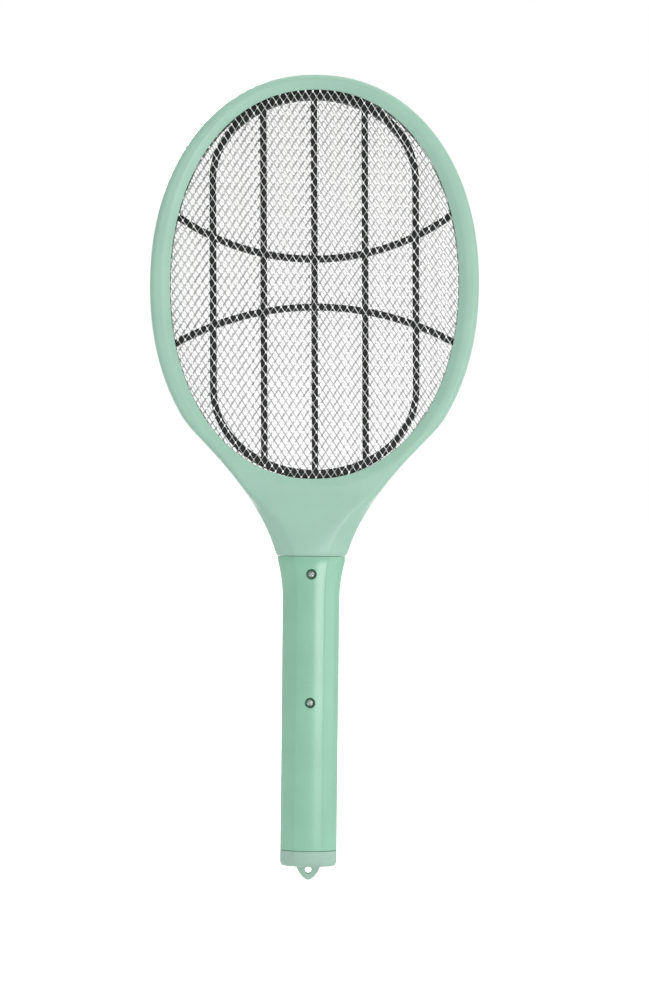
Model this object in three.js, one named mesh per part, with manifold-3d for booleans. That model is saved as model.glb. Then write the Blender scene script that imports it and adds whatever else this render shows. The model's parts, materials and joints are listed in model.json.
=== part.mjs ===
// Electric fly swatter: a racket-shaped head with three wire meshes, and a battery handle.
// Millimetres. +Z runs along the handle towards the tip of the head, -Y is the rear face
// (the one with the handle screws), +Y is the front face (the one with the controls), and
// the origin is the middle of the hand grip on the handle's axis.
import * as THREE from 'three';
import { mergeVertices } from 'three/addons/utils/BufferGeometryUtils.js';
import Module from 'manifold-3d';

const wasm = await Module();
wasm.setup();

// ---- driving dimensions -------------------------------------------------------------
const GAP = 0.3; // clearance between touching pieces
const PARTING = GAP / 2; // each half shell stops this far from the plane y = 0
const REACH = 40; // half the size of a block that takes a whole side of the handle
const PAST = 1; // how far a cutting tool runs past the face it cuts

const HEAD = {
  centreZ: 255.6,
  halfWidth: 98.4,
  halfHeight: 125.4,
  halfDepth: 8.5,
  fullness: 2.13, // exponent of the ovals of head and opening; 2 would be an ellipse
  flankStartZ: 174, // below this height the outline leaves the oval for the throat
};
const OPENING = { halfWidth: 86.4, halfHeight: 116.4, slopeWidth: 4.6, slopeDepth: 1.8 };
const SEAT = { margin: 4.5, floorY: 5.5, wall: 1.5 }; // where the meshes are clamped
const THROAT = {
  seamZ: 93,
  blendTopZ: 150,
  flankControls: [[67.9, 159.6], [17.2, 122.7]], // the two inner points (x, z) of the flank's curve
};
const HANDLE = { halfWidth: 17, halfDepth: 12.5, wall: 2, straightTopZ: 66, bottomZ: -83 };
const TONGUE = { halfWidth: 14.4, halfDepth: 8, wall: 1.8, bottomZ: 70, bulkhead: 2.2 };
const SCREW = {
  upperZ: 82.2,
  lowerZ: 5.4,
  bossRadius: 3.6,
  holeRadius: 1.6,
  shankRadius: 1.25,
  tipY: 9,
  pointLength: 1.5,
  headHeight: 2,
  crown: [[0, 0], [1.6, 0], [2.3, 0.5], [2.6, 1.2], [2.6, 2]], // [radius, distance from the head's face]
  crossLength: 3,
  crossWidth: 0.6,
  crossDepth: 0.8,
};
const RECESS = { radius: 3.1, floorY: 8.6 }; // screw-head recess in the rear shell

const SHEET = { thickness: 0.6, margin: 4.1, rimMargin: 0.5, pitchX: 32, pitchZ: 48, strand: 4 };
const GUARD_Y = 4.9; // mid-plane of each guard mesh
const TAB = { halfWidth: 3, bottomZ: 127.5, spacing: 9, overlap: 2.5 }; // soldering tabs of the meshes
const TAB_ROOM = { halfWidth: 14, margin: 2, topZ: 140 }; // cleared in each frame for the tabs
const GRID = {
  innerY: 0.6,
  outerY: 4.3,
  barWidth: 3.8,
  barPitch: 30.4,
  outerBarShare: 0.93, // the bars beside the middle one end this far up the oval
  ovalHalfWidth: 60.8,
  ovalStraight: 63, // half length of the oval's straight sides
  ovalEndHeight: 50.8,
  ovalEndWidth: 5.6,
  turn: -0.8, // degrees about Y: the bars sit a little askew in the rim
  linkLength: 4, // how far the middle bar runs past the oval's ends, into the rim
  rimMargin: 0.3, // from the opening's edge to the rim
  // The curved bars bow towards each other; offset is from the head's centre to a bar's middle.
  curves: [{ up: 1, radius: 143, offset: 15.4 }, { up: -1, radius: 172, offset: 13.4 }],
};

const BOARD = { rearY: -0.5, frontY: 0.9, halfWidth: 11.5, bottomZ: 12, topZ: 66 };
const BOARD_POST = { radius: 1.6, x: 9.4, heights: [15, 62.5], endY: 9.5 };
const TRIGGER = {
  z: 40, radius: 7, halfStraight: 3, topY: 14.4, wall: 1.6, roof: 2.4, flangeY: 8.3, flange: 1.2,
  stemRadius: 2.2, bevelInset: 1.2, bevelHeight: 0.7,
};
const PUSH_SWITCH = {
  half: 3.5, topY: 6.6, plungerRadius: 1.7, plungerTopY: 8.9, plungerBottomY: 4.2, boreY: 2.1,
};
const SLIDER = {
  z: 17, travel: 4, halfWidth: 4, halfLength: 3.75, topY: 14.1, trayDepth: 0.8, margin: 0.4,
};
const KNOB = { stem: 1.4, footHalfWidth: 3.4, footHalfLength: 2.4, footHeight: 1.6 };
const RIDGES = { count: 5, pitch: 1.3, half: 0.35, height: 0.6, inset: 0.5 }; // on top of the knob
const SLIDE_SWITCH = {
  halfWidth: 2.8, halfLength: 5.6, topY: 6.2, leverHalf: 0.8, leverTopY: 7.4, leverBottomY: 3.8,
};
const TRAY_Y = HANDLE.halfDepth - SLIDER.trayDepth; // floor of the tray that the knob slides in
const LED = {
  z: 58, radius: 2.5, rimRadius: 2.9, rimHeight: 1, length: 8, topY: 14, legSpacing: 2.54, leg: 0.5,
};
const CELL = {
  radius: 7.1, edge: 0.6, bottomZ: -76.3, length: 50.5, nubRadius: 2.75, nub: 1.3, x: 7.4,
};
const CARRIER = { bottomZ: -20, thickness: 2 };
const CARRIER_RIB = { halfWidth: 6, reach: 1.4, height: 1.2 }; // above and below the carrier
const CONTACT = {
  halfWidth: 4.8, halfDepth: 4.5, thickness: 0.5, tailHalfWidth: 1.4, tailHalfDepth: 0.4, tailRise: 1.6,
};
const CUP = { wide: 3.6, narrow: 2.2 }; // radii of the positive contact's pressed cup
const SPRING = { wide: 4, narrow: 2.2, wire: 0.45, turns: 3.5 };
const BRIDGE = { halfWidth: 12, stubTop: 2.2, stubBase: 3.2 };
const CAP = {
  bottomZ: -92.7,
  floor: 3.5,
  spigotTopZ: -77,
  spigotWall: 1.6,
  edge: [[3.2, 0], [1.2, 0.7], [0, 2.4]], // [height above the bottom, inset] round the lower edge
};
const EYE = {
  halfWidth: 7.6,
  baseRise: 1.5,
  shoulderDrop: 1.5,
  tipZ: -101.2,
  tipHalfWidth: 3.6,
  tipRise: 0.6,
  halfThickness: 2.6,
  holeRadius: 2,
  holeZ: -95.2,
};
const BRIDGE_Z = CAP.bottomZ + CAP.floor + GAP; // underside of the bridge contact
const LEAD_RADIUS = 0.8;

// ---- colours and finishes ---------------------------------------------------------------
const FINISH = {
  mint: { color: 0xa5d0bc, roughness: 0.42, metalness: 0 },
  paleMint: { color: 0xb9d2c6, roughness: 0.5, metalness: 0 },
  mesh: { color: 0xd2d2d0, roughness: 0.35, metalness: 1 },
  rib: { color: 0x303233, roughness: 0.55, metalness: 0 },
  steel: { color: 0xa9adb0, roughness: 0.3, metalness: 1 },
  brass: { color: 0xc8a45a, roughness: 0.3, metalness: 1 },
  board: { color: 0x2f6b3f, roughness: 0.5, metalness: 0 },
  ferrite: { color: 0x3a3a3c, roughness: 0.7, metalness: 0 },
  winding: { color: 0xa8622c, roughness: 0.45, metalness: 0.4 },
  component: { color: 0x1d1d1f, roughness: 0.5, metalness: 0 },
  capacitor: { color: 0xa3341f, roughness: 0.4, metalness: 0 },
  button: { color: 0xe9ecea, roughness: 0.4, metalness: 0 },
  lens: { color: 0xc8201a, roughness: 0.15, metalness: 0 },
  cell: { color: 0x3c5a8a, roughness: 0.35, metalness: 0.2 },
  redWire: { color: 0xb02a22, roughness: 0.5, metalness: 0 },
  blackWire: { color: 0x1b1b1c, roughness: 0.5, metalness: 0 },
};

// ---- solids: from three.js geometry to a closed solid and back ---------------------------
function solid(geometry) {
  const bare = geometry.clone();
  bare.deleteAttribute('normal');
  bare.deleteAttribute('uv');
  const merged = mergeVertices(bare, 1e-5);
  return new wasm.Manifold(new wasm.Mesh({
    numProp: 3,
    vertProperties: new Float32Array(merged.attributes.position.array),
    triVerts: new Uint32Array(merged.index.array),
  }));
}

function geometryOf(body) {
  const mesh = body.getMesh();
  const geometry = new THREE.BufferGeometry();
  geometry.setAttribute('position', new THREE.BufferAttribute(new Float32Array(mesh.vertProperties), 3));
  geometry.setIndex(new THREE.BufferAttribute(new Uint32Array(mesh.triVerts), 1));
  geometry.computeVertexNormals();
  return geometry;
}

function join(...bodies) {
  return bodies.reduce((all, body) => all.add(body));
}

function cut(body, ...tools) {
  return tools.reduce((rest, tool) => rest.subtract(tool), body);
}

function box(x0, x1, y0, y1, z0, z1) {
  const geometry = new THREE.BoxGeometry(x1 - x0, y1 - y0, z1 - z0);
  geometry.translate((x0 + x1) / 2, (y0 + y1) / 2, (z0 + z1) / 2);
  return solid(geometry);
}

// A cylinder along the Y axis from y0 to y1, centred on (x, z).
function post(radius, x, z, y0, y1, sides = 20) {
  const geometry = new THREE.CylinderGeometry(radius, radius, y1 - y0, sides);
  geometry.translate(x, (y0 + y1) / 2, z);
  return solid(geometry);
}

// A flat shape drawn in (x, z), made solid from y0 to y1.
function slab(shape, y0, y1, curveSegments = 24) {
  const geometry = new THREE.ExtrudeGeometry(shape, {
    depth: y1 - y0,
    bevelEnabled: false,
    curveSegments,
  });
  geometry.rotateX(Math.PI / 2);
  geometry.translate(0, y1, 0);
  return solid(geometry);
}

// Joins rings of equally many points into a closed solid. cap(ring) lists a ring's triangles.
function loft(rings, cap) {
  const count = rings[0].length;
  const positions = rings.flat().flatMap((p) => [p.x, p.y, p.z]);
  const index = [];
  for (let k = 0; k < rings.length - 1; k += 1) {
    for (let i = 0; i < count; i += 1) {
      const a = k * count + i;
      const b = k * count + ((i + 1) % count);
      index.push(a, b, b + count, a, b + count, a + count);
    }
  }
  const lastRing = (rings.length - 1) * count;
  for (const [a, b, c] of cap(count)) {
    index.push(c, b, a);
    index.push(lastRing + a, lastRing + b, lastRing + c);
  }
  const geometry = new THREE.BufferGeometry();
  geometry.setAttribute('position', new THREE.Float32BufferAttribute(positions, 3));
  geometry.setIndex(index);
  const body = solid(geometry);
  return body.volume() > 0 ? body : solid(flipped(geometry));
}

function flipped(geometry) {
  const turned = geometry.clone();
  const index = turned.index.array;
  for (let i = 0; i < index.length; i += 3) {
    [index[i], index[i + 1]] = [index[i + 1], index[i]];
  }
  return turned;
}

// A convex ring is closed by a fan of triangles.
function fanCap(count) {
  return Array.from({ length: count - 2 }, (_, i) => [0, i + 1, i + 2]);
}

// A ring that is a mirror image across x = 0 is closed by strips from right to left.
function mirrorCap(count) {
  const triangles = [];
  for (let i = 0; i < Math.floor(count / 2); i += 1) {
    const j = count - 1 - i;
    if (j - i > 1) triangles.push([i, i + 1, j]);
    if (j - i > 2) triangles.push([i + 1, j - 1, j]);
  }
  return triangles;
}

// ---- the outline and the section of the whole body ------------------------------------------
const smooth = (t) => {
  const s = THREE.MathUtils.clamp(t, 0, 1);
  return s * s * (3 - 2 * s);
};

// 1 at the handle's seam, 0 where the ring proper begins.
const handleShare = (z) => 1 - smooth((z - THROAT.seamZ) / (THROAT.blendTopZ - THROAT.seamZ));

// A point of an oval round the head's centre; angle 0 is its right-hand side.
function ovalPoint(halfWidth, halfHeight, angle) {
  const [across, up] = [Math.cos(angle), Math.sin(angle)].map((part) => (
    Math.sign(part) * Math.abs(part) ** (2 / HEAD.fullness)
  ));
  return new THREE.Vector2(halfWidth * across, HEAD.centreZ + halfHeight * up);
}

// The angle at which the head's oval has height z.
function headAngle(z) {
  const rise = (z - HEAD.centreZ) / HEAD.halfHeight;
  return Math.asin(Math.sign(rise) * Math.abs(rise) ** (HEAD.fullness / 2));
}

const flankStart = headAngle(HEAD.flankStartZ);
const flank = new THREE.CubicBezierCurve(
  ovalPoint(HEAD.halfWidth, HEAD.halfHeight, flankStart),
  ...THROAT.flankControls.map(([x, z]) => new THREE.Vector2(x, z)),
  new THREE.Vector2(HANDLE.halfWidth, HANDLE.straightTopZ),
);

// Half the width of the handle or throat at height z.
function bodyHalfWidth(z) {
  if (z <= HANDLE.straightTopZ) return HANDLE.halfWidth;
  let [low, high] = [0, 1];
  for (let step = 0; step < 40; step += 1) {
    const middle = (low + high) / 2;
    if (flank.getPoint(middle).y > z) low = middle;
    else high = middle;
  }
  return flank.getPoint(low).x;
}

const bodyHalfDepth = (z) => THREE.MathUtils.lerp(HEAD.halfDepth, HANDLE.halfDepth, handleShare(z));

// The body's section from the parting plane round to the face: how far each corner lies in
// from the outline, and how deep it lies. The ring has a round edge, the handle has facets.
const RING_CORNERS = [[0, 0], [0, -3.2], [0.4, -2], [1.2, -0.9], [2.2, -0.25], [3.2, 0]];
const HANDLE_CORNERS = [[0, 0], [0, 0.28], [0.035, 0.42], [0.14, 0.62], [0.44, 0.93], [0.56, 1]];

function sectionCorner(k, z, halfWidth, wall) {
  const share = handleShare(z);
  const depth = bodyHalfDepth(z) - wall;
  const [ringInset, ringDrop] = RING_CORNERS[k];
  const [widthShare, depthShare] = HANDLE_CORNERS[k];
  const ringDepth = k === 0 ? 0 : depth + ringDrop;
  return {
    inset: THREE.MathUtils.lerp(ringInset, widthShare * (halfWidth - wall), share) + wall,
    depth: THREE.MathUtils.lerp(ringDepth, depthShare * depth, share),
  };
}

// Right-hand half of the head's outline, from height bottom up to the tip.
function headHalfOutline(bottom, flankSteps, ringSteps) {
  const points = [];
  for (let i = 0; i < flankSteps; i += 1) {
    const z = THREE.MathUtils.lerp(bottom, HEAD.flankStartZ, i / flankSteps);
    points.push(new THREE.Vector2(bodyHalfWidth(z), z));
  }
  for (let i = 0; i < ringSteps; i += 1) {
    const angle = THREE.MathUtils.lerp(flankStart, Math.PI / 2, i / ringSteps);
    points.push(ovalPoint(HEAD.halfWidth, HEAD.halfHeight, angle));
  }
  points.push(new THREE.Vector2(0, HEAD.centreZ + HEAD.halfHeight));
  return points;
}

function outwardNormals(points) {
  return points.map((point, i) => {
    if (point.x === 0) return new THREE.Vector2(0, 1);
    const before = points[Math.max(i - 1, 0)];
    const after = points[Math.min(i + 1, points.length - 1)];
    const along = after.clone().sub(before).normalize();
    const sideways = new THREE.Vector2(1, 0);
    return new THREE.Vector2(along.y, -along.x).lerp(sideways, handleShare(point.y)).normalize();
  });
}

// Half of the body (side -1 is the rear, +1 the front) over a half outline. wall shrinks the
// outline and the face, so a second call with the wall's thickness gives the cavity.
function halfBody(outline, side, wall = 0) {
  const normals = outwardNormals(outline);
  const rings = RING_CORNERS.map((_, k) => {
    const right = outline.map((point, i) => {
      const { inset, depth } = sectionCorner(k, point.y, point.x, wall);
      const x = point.x === 0 ? 0 : point.x - normals[i].x * inset;
      const start = wall > 0 ? -PAST : PARTING; // a cavity is cut from beyond the parting plane
      return new THREE.Vector3(x, side * (k === 0 ? start : depth), point.y - normals[i].y * inset);
    });
    const left = right.filter((p) => p.x !== 0).reverse();
    return [...right, ...left.map((p) => new THREE.Vector3(-p.x, p.y, p.z))];
  });
  return loft(rings, mirrorCap);
}

// An oval plug through the head, of one or more [y, margin] layers round the opening.
function openingPlug(layers, sides = 56) {
  const rings = layers.map(([y, margin]) => Array.from({ length: sides }, (_, i) => {
    const point = ovalPoint(
      OPENING.halfWidth + margin, OPENING.halfHeight + margin, (2 * Math.PI * i) / sides,
    );
    return new THREE.Vector3(point.x, y, point.y);
  }));
  return loft(rings, fanCap);
}

// ---- head: two half frames, three meshes and two spacer grids --------------------------------
function headFrame(side) {
  const seamZ = THROAT.seamZ + PARTING;
  const beyond = HEAD.halfDepth + PAST;
  const skin = halfBody(headHalfOutline(seamZ, 7, 16), side);
  const roof = HEAD.halfDepth - OPENING.slopeDepth;
  const slope = OPENING.slopeWidth / OPENING.slopeDepth;
  const mouth = openingPlug([
    [0, 0], [side * roof, 0], [side * beyond, slope * (beyond - roof)],
  ]);
  const seat = openingPlug([[-side * PAST, SEAT.margin], [side * SEAT.floorY, SEAT.margin]]);
  const seatWall = openingPlug([
    [-side * beyond, SEAT.margin + SEAT.wall], [side * beyond, SEAT.margin + SEAT.wall],
  ]);
  const cavity = cut(
    halfBody(headHalfOutline(seamZ - PAST, 7, 16), side, HANDLE.wall), seatWall,
  );
  const tabRoom = sideBox(
    side, TAB_ROOM.halfWidth, -PAST, SEAT.floorY, TAB.bottomZ - TAB_ROOM.margin, TAB_ROOM.topZ,
  );

  const shell = cut(skin, cavity, mouth, seat, tabRoom);
  const bulkheadTop = seamZ + TONGUE.bulkhead;
  const bulkhead = skin.intersect(sideBox(side, REACH, 0, REACH, 0, bulkheadTop));
  const half = sideBox(side, REACH, PARTING, REACH, 0, HEAD.centreZ);
  const tongue = tonguePlug(0, seamZ + TONGUE.bulkhead / 2, 0).intersect(half);
  const bore = tonguePlug(TONGUE.wall, bulkheadTop + PAST, PAST);
  const bossTop = TONGUE.halfDepth - TONGUE.wall / 2;
  const boss = sidePost(side, SCREW.bossRadius, SCREW.upperZ, PARTING, bossTop);
  const hole = sidePost(side, SCREW.holeRadius, SCREW.upperZ, -PAST, TONGUE.halfDepth + PAST);
  return cut(join(shell, cut(join(bulkhead, tongue), bore), boss), hole);
}

// The tongue that the head pushes into the handle, shrunk by inset and made longer by extra.
function tonguePlug(inset, topZ, extra) {
  const width = TONGUE.halfWidth - inset;
  const depth = TONGUE.halfDepth - inset;
  return loft([
    sectionRing(width, depth, TONGUE.bottomZ - extra), sectionRing(width, depth, topZ),
  ], fanCap);
}

// A box centred on x = 0 that reaches from depth d0 to depth d1 on one side of the part.
function sideBox(side, halfWidth, d0, d1, z0, z1) {
  const [y0, y1] = [side * d0, side * d1].sort((a, b) => a - b);
  return box(-halfWidth, halfWidth, y0, y1, z0, z1);
}

function sidePost(side, radius, z, d0, d1, x = 0, sides = 20) {
  const [y0, y1] = [side * d0, side * d1].sort((a, b) => a - b);
  return post(radius, x, z, y0, y1, sides);
}

function diamond(x, z, halfWidth, halfHeight) {
  const shape = new THREE.Shape();
  shape.moveTo(x, z - halfHeight);
  shape.lineTo(x + halfWidth, z);
  shape.lineTo(x, z + halfHeight);
  shape.lineTo(x - halfWidth, z);
  shape.closePath();
  return shape;
}

// One expanded-metal sheet with a plain rim, its openings drawn larger than the real ones.
function meshSheet(y, tabX) {
  const [y0, y1] = [y - SHEET.thickness / 2, y + SHEET.thickness / 2];
  const halfHoleX = (SHEET.pitchX - SHEET.strand) / 2;
  const halfHoleZ = (halfHoleX * SHEET.pitchZ) / SHEET.pitchX;
  const rows = Math.floor(OPENING.halfHeight / (SHEET.pitchZ / 2));
  const columns = Math.ceil(OPENING.halfWidth / SHEET.pitchX);
  const diamonds = [];
  for (let row = -rows; row <= rows; row += 1) {
    for (let column = -columns; column <= columns; column += 1) {
      const x = (column + (row % 2 === 0 ? 0 : 0.5)) * SHEET.pitchX;
      const z = (row * SHEET.pitchZ) / 2;
      const nearness = Math.hypot( // below 1 where the diamond reaches into the opening
        Math.max(Math.abs(x) - halfHoleX / 2, 0) / OPENING.halfWidth,
        Math.max(Math.abs(z) - halfHoleZ / 2, 0) / OPENING.halfHeight,
      );
      if (nearness < 1) diamonds.push(diamond(x, HEAD.centreZ + z, halfHoleX, halfHoleZ));
    }
  }
  const pierced = openingPlug([[y0 - PAST, SHEET.rimMargin], [y1 + PAST, SHEET.rimMargin]]);
  const holes = slab(diamonds, y0 - PAST, y1 + PAST).intersect(pierced);
  const sheet = openingPlug([[y0, SHEET.margin], [y1, SHEET.margin]]);
  const rimBottomZ = HEAD.centreZ - OPENING.halfHeight - SHEET.margin;
  const tabTopZ = rimBottomZ + TAB.overlap;
  const tab = box(tabX - TAB.halfWidth, tabX + TAB.halfWidth, y0, y1, TAB.bottomZ, tabTopZ);
  return join(cut(sheet, holes), tab);
}

function ovalShape(grow, growEnds) {
  const halfWidth = GRID.ovalHalfWidth + grow;
  const endHeight = GRID.ovalEndHeight + growEnds;
  const shape = new THREE.Shape();
  shape.absellipse(0, HEAD.centreZ + GRID.ovalStraight, halfWidth, endHeight, 0, Math.PI, false, 0);
  shape.absellipse(
    0, HEAD.centreZ - GRID.ovalStraight, halfWidth, endHeight, Math.PI, 2 * Math.PI, false, 0,
  );
  shape.closePath();
  return shape;
}

// A curved bar across the head, its middle nearest to the head's centre; up is +1 or -1.
function curvedBar({ up, radius, offset }, y0, y1) {
  const centreZ = HEAD.centreZ + up * (offset + radius);
  const half = GRID.barWidth / 2;
  const spread = Math.asin((OPENING.halfWidth + SHEET.margin) / radius);
  const middle = up > 0 ? -Math.PI / 2 : Math.PI / 2;
  const shape = new THREE.Shape();
  shape.absarc(0, centreZ, radius + half, middle - spread, middle + spread, false);
  shape.absarc(0, centreZ, radius - half, middle + spread, middle - spread, true);
  shape.closePath();
  return slab(shape, y0, y1, 8);
}

// The insulating grid between the centre mesh and one guard mesh.
function spacerGrid(side) {
  const [y0, y1] = [side * GRID.innerY, side * GRID.outerY].sort((a, b) => a - b);
  const outside = openingPlug([[y0, SHEET.margin], [y1, SHEET.margin]]);
  const rim = cut(outside, openingPlug([[y0 - PAST, GRID.rimMargin], [y1 + PAST, GRID.rimMargin]]));
  const half = GRID.barWidth / 2;
  const halfEnd = GRID.ovalEndWidth / 2;
  const oval = cut(
    slab(ovalShape(half, halfEnd), y0, y1, 10),
    slab(ovalShape(-half, -halfEnd), y0 - PAST, y1 + PAST, 10),
  );
  const reach = GRID.ovalStraight + GRID.ovalEndHeight;
  const bars = [-GRID.barPitch, GRID.barPitch].map((x) => {
    const end = reach * GRID.outerBarShare;
    return box(x - half, x + half, y0, y1, HEAD.centreZ - end, HEAD.centreZ + end);
  });
  const middleEnd = reach + GRID.linkLength;
  const middleBar = box(-half, half, y0, y1, HEAD.centreZ - middleEnd, HEAD.centreZ + middleEnd);
  const curves = GRID.curves.map((curve) => curvedBar(curve, y0, y1));
  const all = join(oval, middleBar, ...bars, ...curves)
    .translate(0, 0, -HEAD.centreZ).rotate(0, GRID.turn, 0).translate(0, 0, HEAD.centreZ);
  return join(rim, all.intersect(outside));
}

// ---- handle: two half shells, screws and end cap ----------------------------------------------
function handleHalfOutline(bottomZ, topZ) {
  const steps = 5;
  const flared = Array.from({ length: steps + 1 }, (_, i) => (
    THREE.MathUtils.lerp(HANDLE.straightTopZ, topZ, i / steps)
  ));
  const heights = [bottomZ, ...flared];
  return heights.map((z) => new THREE.Vector2(bodyHalfWidth(z), z));
}

function handleShell(side) {
  const topZ = THROAT.seamZ - PARTING;
  const bottomZ = HANDLE.bottomZ + PARTING;
  const skin = halfBody(handleHalfOutline(bottomZ, topZ), side);
  const cavity = halfBody(handleHalfOutline(bottomZ - PAST, topZ + PAST), side, HANDLE.wall);
  const inner = HANDLE.halfDepth - HANDLE.wall;
  const bosses = [
    sidePost(side, SCREW.bossRadius, SCREW.lowerZ, PARTING, inner + HANDLE.wall / 2),
    sidePost(side, SCREW.bossRadius, SCREW.upperZ, TONGUE.halfDepth + GAP, inner + HANDLE.wall / 2),
  ];
  const carrierTop = CARRIER.bottomZ + CARRIER.thickness;
  const { halfWidth, reach, height } = CARRIER_RIB;
  const ribs = [carrierTop + GAP, CARRIER.bottomZ - GAP - height].map((z) => (
    sideBox(side, halfWidth, inner - reach, inner + HANDLE.wall / 2, z, z + height)
  ));
  const stop = side < 0 ? BOARD.rearY - GAP : BOARD.frontY + GAP;
  const boardPosts = BOARD_POST.heights.flatMap((z) => [-BOARD_POST.x, BOARD_POST.x].map((x) => (
    sidePost(side, BOARD_POST.radius, z, Math.abs(stop), BOARD_POST.endY, x, 10)
  )));
  const body = join(cut(skin, cavity), ...bosses, ...ribs, ...boardPosts);
  return side < 0 ? cut(body, ...rearHoles()) : cut(body, ...frontHoles());
}

function rearHoles() {
  return [SCREW.lowerZ, SCREW.upperZ].flatMap((z) => [
    sidePost(-1, RECESS.radius, z, RECESS.floorY, HANDLE.halfDepth + PAST, 0, 24),
    sidePost(-1, SCREW.holeRadius, z, -PAST, HANDLE.halfDepth),
  ]);
}

function frontHoles() {
  const slotZ = SLIDER.z + SLIDER.travel / 2;
  const slotHalf = SLIDER.travel / 2 + KNOB.stem + GAP;
  const trayHalf = SLIDER.travel / 2 + SLIDER.halfLength + SLIDER.margin;
  const trayHalfWidth = SLIDER.halfWidth + SLIDER.margin;
  const pilot = [SCREW.lowerZ, SCREW.upperZ].map((z) => (
    post(SCREW.holeRadius, 0, z, -PAST, HANDLE.halfDepth - HANDLE.wall)
  ));
  const [inside, outside] = [HANDLE.halfDepth / 2, HANDLE.halfDepth + PAST];
  return [
    ...pilot,
    slab(stadium(TRIGGER.radius + GAP, TRIGGER.halfStraight, TRIGGER.z), inside, outside, 8),
    post(LED.radius + GAP, 0, LED.z, inside, outside),
    box(-KNOB.stem - GAP, KNOB.stem + GAP, inside, outside, slotZ - slotHalf, slotZ + slotHalf),
    box(-trayHalfWidth, trayHalfWidth, TRAY_Y, outside, slotZ - trayHalf, slotZ + trayHalf),
  ];
}

// A shape with straight sides along z and round ends, centred on height z.
function stadium(radius, halfStraight, z) {
  const shape = new THREE.Shape();
  shape.absarc(0, z + halfStraight, radius, 0, Math.PI, false);
  shape.absarc(0, z - halfStraight, radius, Math.PI, 2 * Math.PI, false);
  shape.closePath();
  return shape;
}

// A self-tapping screw from the rear: pan head in the recess, shank through both shells.
function handleScrew(z) {
  const { shankRadius, headHeight, pointLength, crossLength, crossWidth, crossDepth } = SCREW;
  const headFaceY = -(RECESS.floorY + GAP + headHeight);
  const length = SCREW.tipY - headFaceY;
  const profile = [
    ...SCREW.crown, [shankRadius, headHeight], [shankRadius, length - pointLength], [0, length],
  ].map(([radius, along]) => new THREE.Vector2(radius, along));
  const geometry = new THREE.LatheGeometry(profile, 16);
  geometry.translate(0, headFaceY, z);
  const slots = [0, Math.PI / 2].map((turn) => {
    const bar = new THREE.BoxGeometry(crossLength, 2 * crossDepth, crossWidth);
    bar.rotateY(turn);
    bar.translate(0, headFaceY, z);
    return solid(bar);
  });
  return cut(solid(geometry), ...slots);
}

const handleRing = (inset, z) => (
  sectionRing(HANDLE.halfWidth - inset, HANDLE.halfDepth - inset, z)
);

// The handle's closed section at height z, for a given half width and half depth.
function sectionRing(width, depth, z) {
  const quarter = HANDLE_CORNERS.slice(1).map(([x, y]) => [width * (1 - x), depth * y]);
  const rear = [...quarter].reverse();
  const ring = [
    ...quarter,
    ...rear.map(([x, y]) => [-x, y]),
    ...quarter.map(([x, y]) => [-x, -y]),
    ...rear.map(([x, y]) => [x, -y]),
  ];
  return ring.map(([x, y]) => new THREE.Vector3(x, y, z));
}

function endCap() {
  const rimZ = HANDLE.bottomZ - PARTING;
  const cup = loft([
    handleRing(0, rimZ), ...CAP.edge.map(([height, inset]) => handleRing(inset, CAP.bottomZ + height)),
  ], fanCap);
  const spigotInset = HANDLE.wall + GAP;
  const spigot = loft([
    handleRing(spigotInset, CAP.spigotTopZ), handleRing(spigotInset, rimZ - PAST),
  ], fanCap);
  const bore = loft([
    handleRing(spigotInset + CAP.spigotWall, CAP.spigotTopZ + PAST),
    handleRing(spigotInset + CAP.spigotWall, CAP.bottomZ + CAP.floor),
  ], fanCap);
  return cut(join(cut(join(cup, spigot), bore), hangingTab()), eyeHole());
}

function hangingTab() {
  const { halfWidth, tipZ, tipHalfWidth, halfThickness } = EYE;
  const [baseZ, shoulderZ] = [CAP.bottomZ + EYE.baseRise, CAP.bottomZ - EYE.shoulderDrop];
  const lowZ = tipZ + EYE.tipRise;
  const tab = new THREE.Shape();
  tab.moveTo(halfWidth, baseZ);
  tab.bezierCurveTo(halfWidth, shoulderZ, tipHalfWidth, lowZ, 0, tipZ);
  tab.bezierCurveTo(-tipHalfWidth, lowZ, -halfWidth, shoulderZ, -halfWidth, baseZ);
  tab.closePath();
  return slab(tab, -halfThickness, halfThickness, 10);
}

function eyeHole() {
  const reach = EYE.halfThickness + PAST;
  return post(EYE.holeRadius, 0, EYE.holeZ, -reach, reach);
}

// ---- controls -------------------------------------------------------------------------------------
function triggerButton() {
  const { z, radius, halfStraight, topY, wall, roof, flangeY, flange, bevelInset, bevelHeight } = TRIGGER;
  const pad = (grow, y0, y1) => slab(stadium(radius + grow, halfStraight, z), y0, y1, 8);
  const crown = pad(-bevelInset, topY - roof / 2, topY);
  const side = pad(0, flangeY, topY - bevelHeight);
  const skirt = pad(flange, flangeY, flangeY + flange);
  const hollow = pad(-wall, flangeY - PAST, topY - roof);
  const stem = post(TRIGGER.stemRadius, 0, z, PUSH_SWITCH.plungerTopY + GAP, topY - roof / 2, 16);
  return join(cut(join(crown, side, skirt), hollow), stem);
}

function pushSwitchBody() {
  const { half, topY, plungerRadius, boreY } = PUSH_SWITCH;
  const z = TRIGGER.z;
  const base = box(-half, half, BOARD.frontY + GAP, topY, z - half, z + half);
  return cut(base, post(plungerRadius + GAP, 0, z, boreY, topY + PAST, 16));
}

function pushSwitchPlunger() {
  const { plungerRadius, plungerBottomY, plungerTopY } = PUSH_SWITCH;
  return post(plungerRadius, 0, TRIGGER.z, plungerBottomY, plungerTopY, 16);
}

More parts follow.
